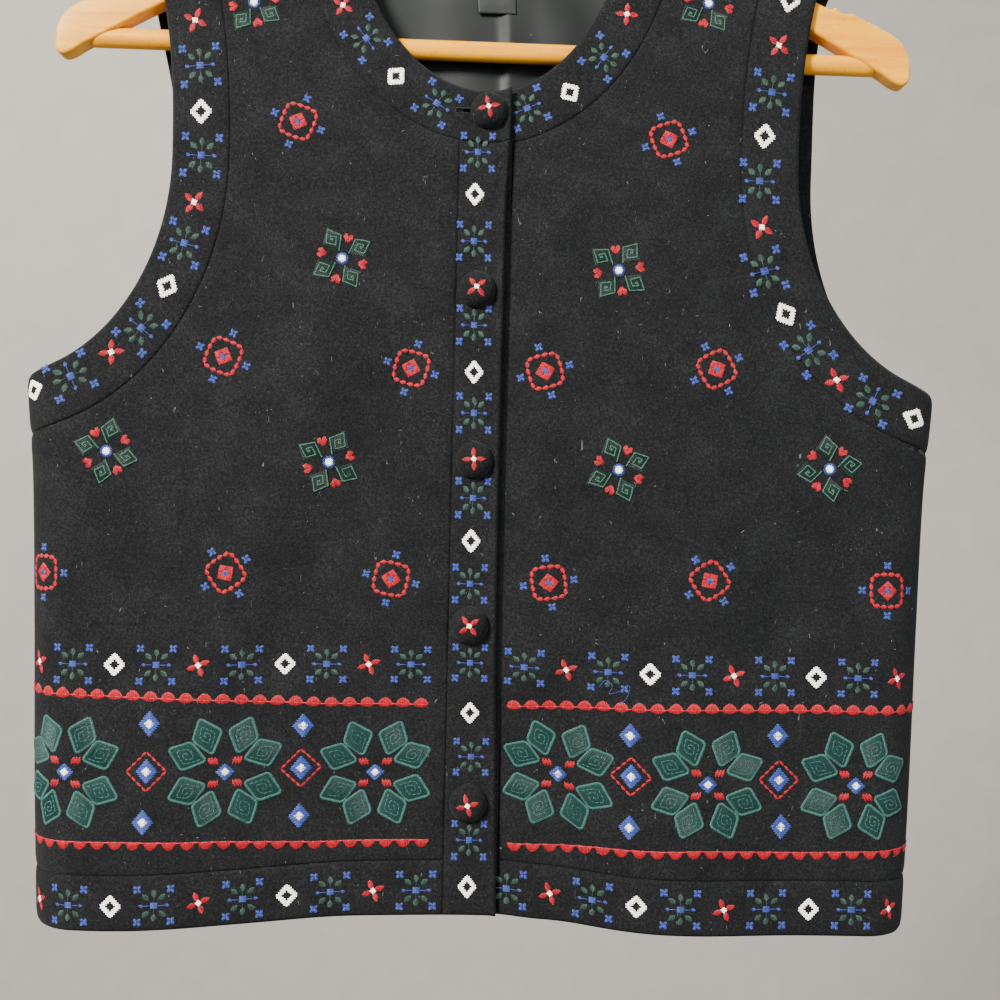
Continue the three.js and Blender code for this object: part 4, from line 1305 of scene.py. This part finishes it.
NECK = [
    ("R", -75.5, -153.9, -54), ("B", -63.1, -171.3, -53), ("W", -47.1, -190.9, -42),
    ("B", -25.7, -204.5, -32), ("B", 20.9, -205.4, 21), ("W", 42.5, -197.2, 35),
    ("B", 59.7, -178.4, 56), ("R", 71.3, -155.1, 64),
    ("B", -82.5, -133.5, -72), ("B", 80.5, -133.5, 72),
    ("W", -85.5, -112.5, -85), ("W", 85, -112.5, 85),
]
PLACKET_FIGURES = [
    ("B", -4.1, -229.6), ("W", -5.1, -251.5), ("B", -5.1, -275.9), ("B", -4.1, -319.2),
    ("W", -3.5, -343.2), ("B", -3.1, -364.1), ("B", -2.6, -407.1), ("W", -3.1, -428.7),
    ("B", -3.2, -450.7), ("B", -2.3, -493.2), ("W", -1.8, -520.9), ("B", -0.8, -545.2),
    ("B", -0.9, -590.0), ("W", -1.4, -613.9),
]
ROWS = [  # figures, first across, spacing, height
    ("BRBWBRBWBR", -31.9, -21.2, -494.5),
    ("BRBWBRBWBR", 25.2, 21.0, -494.8),
    ("BRBWBRBWBR", -27.1, -21.8, -615.8),
    ("BRBWBRBWBR", 18.7, 21.8, -614.9),
]
LARGE = [  # figure, across, height, turn
    (rose, -72.1, -286.3, -15), (rose, 69.2, -289.3, 9.5), (rose, -188.1, -387.3, 32),
    (rose, -75.9, -390.4, 18), (rose, 70.7, -391.3, -23), (rose, 177.4, -388.5, -36),
    (rose, -121.7, -153.0, 12), (rose, 113.8, -147.9, -14),
    (carnation, -96.8, -215.6, -20), (carnation, 93.8, -220.7, 20),
    (carnation, -130.8, -337.9, -22), (carnation, 119.4, -339.1, 28),
    (carnation, -35.5, -341.6, -15), (carnation, 32.6, -341.9, 16),
    (carnation, -42.9, -448.9, -11), (carnation, 36.5, -449.2, 9),
    (carnation, -125.9, -447.4, 35), (carnation, 117.5, -446.3, 35),
    (carnation, -219.9, -449.1, 0), (carnation, 207.5, -449.5, 0),
    (star, -204.4, -548.7, 0), (star, -123.6, -549.4, 0), (star, -48.9, -553.5, 0),
    (star, 43.4, -551.8, 0), (star, 117.9, -550.8, 0), (star, 193.5, -550.9, 0),
    (chain_diamond, -162.4, -547.9, 0), (chain_diamond, -86.3, -549.7, 0),
    (chain_diamond, 79.8, -548.4, 0), (chain_diamond, 154.2, -548.4, 0),
    (small_diamond, -161.4, -523.9, 0), (small_diamond, -85.5, -527.2, 0),
    (small_diamond, 78.8, -527.1, 0), (small_diamond, 153.1, -525.5, 0),
    (small_diamond, -164.0, -573.6, 0), (small_diamond, -87.0, -575.1, 0),
    (small_diamond, 79.5, -575.0, 0), (small_diamond, 155.9, -572.7, 0),
]
SCALLOP_STEP = 9
SCALLOPS = [  # front, which way the scallops bulge, and the line through them
    ("right", 1, [(23.5, -516.5), (77, -515.5), (127, -512.5), (177, -510.5), (243, -509)]),
    ("left", 1, [(17.3, -517.3), (64, -513.7), (113, -512.7), (164, -512.3), (243, -512.3)]),
    ("right", -1, [(22, -590), (76, -589.6), (126, -585.4), (175, -583.6), (243, -584)]),
    ("left", -1, [(19, -591.8), (65.5, -587.4), (115, -585.3), (166, -586.1), (243, -584)]),
]


def scallop_line(path, bulge):
    """A line of running stitches with a dome on every second one: y = 4.3 sin^1.3. In the upper
    lines a dome also has a small belly, so it looks like a bead."""
    path = evenly_spaced(np.array(path, float))
    angle = np.linspace(0, math.pi, 9)
    dome = np.stack([3.8 * np.cos(angle), -0.5 + 4.3 * np.sin(angle) ** 1.3], -1)
    if bulge > 0:
        under = np.linspace(math.pi, 2 * math.pi, 7)[1:-1]
        dome = np.vstack([dome, np.stack([3.1 * np.cos(under), -0.5 + 1.2 * np.sin(under)], -1)])
    parts = {"red": fill(dome, 86, 0.55)}
    places = along(path, np.arange(SCALLOP_STEP / 3, arc_length(path)[-1], SCALLOP_STEP))
    domes = [moved(parts, across, height, flip=(1, bulge)) for across, height in places]
    return add_charts({"red": running(path, SCALLOP_STEP / 2, 0.85)}, *domes)


ALONG_ARMHOLE, ALONG_PLACKET = (1.04, 1.16), (0.88, 1.04)  # how a band's figures are drawn out
CROSS_TURN = 38  # an armhole's crosses stand on two of their petals

sewn = {"right": [], "left": []}  # charts on the two front layers


def put(chart, across, height, turn=0.0, flip=(1, 1)):
    """Sews a chart on the front that its place belongs to."""
    sewn["right" if across < 0 else "left"].append(moved(chart, across, height, turn, flip))


on_armhole = {**SMALL, "R": moved(cross, turn=CROSS_TURN)}
for kind, across, height, turn in ARMHOLES:
    put(on_armhole[kind], across, height, turn, ALONG_ARMHOLE)
for kind, across, height, turn in NECK:
    put(SMALL[kind], across, height, turn)
for kind, across, height in PLACKET_FIGURES:
    put(SMALL[kind], across, height, flip=ALONG_PLACKET)
for kinds, first, step, level in ROWS:
    for i, kind in enumerate(kinds):
        put(SMALL[kind], first + i * step, level)
for chart, across, height, turn in LARGE:
    put(chart, across, height, turn)
for name, bulge, path in SCALLOPS:
    sewn[name].append(moved(scallop_line(path, bulge), flip=(HANDS[name][0], 1)))


# %% Buttonhole bindings
BINDING_WIDTH, BINDING_OUT = 1.0, 0.4  # how wide, and how far its middle is from the slit


def bound_hole(middle, start):
    """The corners round a slit that runs on from `start`, and back to the first of them."""
    end, half = start + HOLE_LENGTH, HOLE_WIDTH / 2 + BINDING_OUT
    left, right = middle - half, middle + half
    return np.array([(left, start), (left, end), (right, end), (right, start), (left, start)])


holes = [bound_hole(across, height - HOLE_BELOW) for across, height in BUTTONS[1:]]
across, height = BUTTONS[0]  # its slit lies level, so its two directions change places
holes.append(bound_hole(height, across + HOLE_BESIDE - HOLE_LENGTH)[:, ::-1])
sewn["right"] += [{"black": satin(hole, BINDING_WIDTH, 0.6)} for hole in holes]

# %% Loose ends
loose = np.array(
    [(63, -503), (66, -499), (69.5, -502), (68, -506), (73, -504.5), (78, -501), (77, -507),
     (74, -511)], float,
)
sewn["left"].append({"blue": running(smooth_through(loose), 1.2, 0.32, -0.1, 0.25)})
LINT = 110  # fibres on each front, which wool always picks up
random = np.random.default_rng(7)
for name, (hand, _) in HANDS.items():
    spot = random.uniform((16, -600), (225, -150), (LINT, 2)) * (hand, 1)
    curl = random.normal(0, 0.8, (LINT, 2))
    fibre = rows_of(spot, spot + curl, 0.16, 0.12)
    inside = spot[:, 1] < np.minimum(shoulder_height(spot[:, 0]) - 30, -150)
    on_wool = inside & ((np.abs(spot[:, 0]) < 150) | (spot[:, 1] < -385))
    sewn[name].append({"lint": fibre[on_wool]})
sewn = {name: add_charts(*charts) for name, charts in sewn.items()}
print({name: {c: len(r) for c, r in charts.items()} for name, charts in sewn.items()})

# %% [markdown]
# ## Thread
#
# The thread is viscose rayon, spun from bright filaments and lightly twisted. Its round shape gives
# a soft highlight along each stitch, and a slanting stripe on the thread's own UV map gives the
# twist as a bump. The same stripe swings the colour between a darker and a lighter shade of the
# thread. That swing is painted shade in the grooves of the twist and painted light on its plies; a
# noise mixed in is the dye's own uneven tone. The stripe comes every 0.7 mm, coarser than the
# filaments, because nothing finer would show.


# %% Thread material
def viscose_thread(name, dark, light):
    material, tree, shader, where = finish_of(
        f"viscose_rayon_thread_{name}",
        Roughness=0.45,
        Specular_IOR_Level=0.22,
        Sheen_Weight=0.04,
        Sheen_Roughness=0.35,
    )
    uv = add(tree, "UVMap", uv_map="thread")
    twist = add(tree, "TexWave", {
        "Vector": uv.outputs[0], "Scale": 0.9, "Distortion": 1.2, "Detail": 1,
    }, bands_direction="DIAGONAL")
    dye = add(tree, "TexNoise", {"Vector": where, "Scale": per_metre(1.3), "Detail": 2})
    both = add(tree, "Mix", {"Factor": 0.55, "A": twist.outputs["Fac"], "B": dye.outputs["Fac"]})
    # The ramp is partly painted light. Its dark end is shade in the twist's grooves and its light
    # end is lit plies, while the dye noise is the thread's real uneven tone.
    colour = add(tree, "ValToRGB", {"Fac": both.outputs[0]}, ((0.25, dark), (0.75, light)))
    dress(tree, shader, colour.outputs["Color"], twist.outputs["Fac"], strength=0.35, depth=0.08)
    return material


THREADS = {  # slot, then dark and light sRGB: painted shade and painted light of the thread
    "blue": ("thread_blue", "#101c52", "#3b4f9b"),
    "green": ("thread_green", "#0a221c", "#304b41"),
    # The lighter green and the lighter blue-green threads below are painted highlights: lighter
    # shades for the light that raised stitches catch.
    "light_green": ("thread_green", "#12342b", "#426b5c"),
    "dark_green": ("thread_green", "#04100d", "#081c17"),
    "teal": ("thread_teal", "#123733", "#355e58"),
    "dark_teal": ("thread_teal", "#041e1b", "#0f3531"),
    "red": ("thread_red", "#560710", "#b81224"),
    "white": ("thread_white", "#f2edda", "#fffdf4"),
    "black": ("wool", "#030304", "#0b0b0c"),
    "lint": ("thread_white", "#57544f", "#8f8b83"),
}
thread_of = {name: viscose_thread(name, *shades[1:]) for name, shades in THREADS.items()}

# %% [markdown]
# A stitch becomes a half tube. It starts and ends in the cloth, rises fast, and is a little
# higher when it is longer, because a long float bulges. Its ends are moved by up to a tenth of
# a millimetre, since no machine hits the same hole twice.

# %% Half tubes
SHARE = np.array([0, 0.13, 0.87, 1.0])  # stations along a stitch
RISE = np.array([-0.25, 1, 1, -0.25])
SIDE = np.array([-1, -0.5, 0.5, 1])  # points across it
DOME = np.array([-0.4, 0.87, 0.87, -0.4])
SCATTER = 0.1  # how far an end may be from its place
LOWEST, HIGHEST = 0.15, 0.6  # heights of the shortest and the longest stitch
CELLS = np.arange(16).reshape(4, 4)
TUBE = np.stack([CELLS[:-1, :-1], CELLS[:-1, 1:], CELLS[1:, 1:], CELLS[1:, :-1]], -1).reshape(-1, 4)


def half_tubes(rows, place):
    """Points, faces and UVs. `place` takes (across, height, rise) to a point in millimetres. A
    point is on its stitch's line, SIDE of half a width beside it, and RISE * DOME of
    0.3 width + 0.035 length high."""
    start = rows[:, :2] + random.uniform(-SCATTER, SCATTER, (len(rows), 2))
    end = rows[:, 2:4] + random.uniform(-SCATTER, SCATTER, (len(rows), 2))
    width, level = rows[:, 4], rows[:, 5]
    run = end - start
    length = np.linalg.norm(run, axis=1)
    side = np.stack([run[:, 1], -run[:, 0]], -1) / length[:, None] * width[:, None] / 2
    flat = (start[:, None] + run[:, None] * SHARE[:, None])[:, :, None] + (
        side[:, None, None] * SIDE[:, None]
    )
    tall = np.clip(0.3 * width + 0.035 * length, LOWEST, HIGHEST)
    rise = level[:, None, None] + tall[:, None, None] * RISE[:, None] * DOME
    rise = np.where(RISE[:, None] < 0, level[:, None, None] * 0.3 - 0.1, rise)
    points = place(flat[..., 0], flat[..., 1], rise).reshape(-1, 3)
    faces = (TUBE + 16 * np.arange(len(rows))[:, None, None]).reshape(-1, 4)
    uv = np.broadcast_arrays(SIDE * 0.5, length[:, None, None] * SHARE[:, None])
    return points, faces, np.stack(uv, -1).reshape(-1, 2)


def sew(name, colour, parts):
    """One object for every stitch of a colour. `parts` are (rows, place) pairs."""
    made = [half_tubes(rows, place) for rows, place in parts]
    starts = np.cumsum([0] + [len(points) for points, _, _ in made[:-1]])
    faces = np.vstack([faces + start for (_, faces, _), start in zip(made, starts)])
    points, uv = (np.vstack([one[k] for one in made]) for k in (0, 2))
    piece = new_piece(name, points, faces, thread_of[colour])
    layer = piece.data.uv_layers.new(name="thread")
    corner = np.zeros(len(piece.data.loops), np.int32)
    piece.data.loops.foreach_get("vertex_index", corner)
    layer.data.foreach_set("uv", uv[corner].astype(np.float32).ravel())
    return piece


def on_front(layer):
    return lambda across, height, rise: on_cloth(layer, across, height, WOOL / 2 + rise)


cross_on_button = {  # petals as long as the dome has room for
    "red": around({"red": fill(lens((0.5, 0), (6.0, 0), 2.7), 55, 0.45)}, 4)["red"],
    "white": fill(diamond(1.6), 22, 0.4, 0.25),
}
BUTTON_TURNS = [14, 40, 4, 38, 16]
SEWN_TO = SEAM_ACROSS - 0.5  # no stitch crosses the side seam

for colour in THREADS:
    parts = []
    for name, (_, layer) in HANDS.items():
        if colour in sewn[name]:
            rows = sewn[name][colour]
            inside = np.abs(rows[:, [0, 2]]).max(1) < SEWN_TO
            parts.append((rows[inside], on_front(layer)))
    if colour in cross_on_button:
        for i, turn in enumerate(BUTTON_TURNS):
            parts.append((moved(cross_on_button, turn=turn)[colour], on_button(i)))
    piece = sew(f"embroidery_{colour}", colour, parts)
    print(piece.name, 2 * len(piece.data.polygons), "triangles")

# %% [markdown]
# ## Floor, wall and light
#
# The waistcoat hangs in front of a plain pale grey wall, well clear of it. The wall curves into
# the floor so that no line shows. A soft lamp high on the left gives the light of a window,
# which rakes across the cloth and throws the lap's shadow to the right. Two weaker lamps keep
# the right side and the back from going black, and a third warms the wall.

# %% Stage
plaster, tree, shader, where = finish_of("grey_plaster_wall", Roughness=0.9)
grain = add(tree, "TexNoise", {"Vector": where, "Scale": per_metre(60), "Detail": 4})
greys = ((0.3, "#a19e98"), (0.7, "#a6a39d"))
dress(tree, shader, add(tree, "ValToRGB", {"Fac": grain.outputs["Fac"]}, greys).outputs["Color"])
FLOOR, WALL, BEND = -2900, 2300, 900
FLOOR_FRONT, WALL_TOP, STAGE_HALF = -9000, 2400, 7000
turn = np.linspace(0, math.pi / 2, 24)
profile = np.vstack(
    [
        [(FLOOR_FRONT, FLOOR)],
        np.stack([WALL - BEND + BEND * np.sin(turn), FLOOR + BEND - BEND * np.cos(turn)], -1),
        [(WALL, WALL_TOP)],
    ]
)
count = len(profile)
across = np.repeat([-STAGE_HALF, STAGE_HALF], count)[:, None]
sheet = np.hstack([across, np.vstack([profile, profile])]) * MM
i = np.arange(count - 1)
quads = np.stack([i, count + i, count + i + 1, i + 1], -1)
stage_mesh = bpy.data.meshes.new("backdrop")
stage_mesh.from_pydata(sheet.tolist(), [], quads.tolist())
stage_mesh.shade_smooth()
stage_mesh.materials.append(plaster)
backdrop = bpy.data.objects.new("backdrop", stage_mesh)
bpy.context.scene.collection.objects.link(backdrop)


def lamp(name, stand, aim, size, watts, colour="#ffffff"):
    """A round lamp that stands at one point and faces another, both in metres."""
    data = bpy.data.lights.new(name, "AREA")
    data.shape, data.size, data.energy, data.color = "DISK", size, watts, linear(colour)[:3]
    made = bpy.data.objects.new(name, data)
    facing = (Vector(stand) - Vector(aim)).to_track_quat("Z", "Y").to_matrix().to_4x4()
    made.matrix_world = Matrix.Translation(stand) @ facing
    bpy.context.scene.collection.objects.link(made)


CHEST = (0, 0, -0.4)
lamp("window", (-1.25, -1.75, 0.75), CHEST, 0.7, 225, "#fffaf0")
lamp("fill", (1.6, -1.4, 0.1), CHEST, 1.2, 28, "#f4f8ff")
lamp("behind", (0.7, 1.7, 0.9), CHEST, 1.2, 60)
lamp("wash", (-1.5, 0.9, 1.3), (-0.9, 2.3, 0.4), 0.8, 30, "#fff3df")
world = bpy.data.worlds.new("room")
world.use_nodes = True
world.node_tree.nodes["Background"].inputs["Color"].default_value = linear("#b8b7b5")
world.node_tree.nodes["Background"].inputs["Strength"].default_value = 1.9
bpy.context.scene.world = world

# %% Updating the scene
bpy.context.view_layer.update()
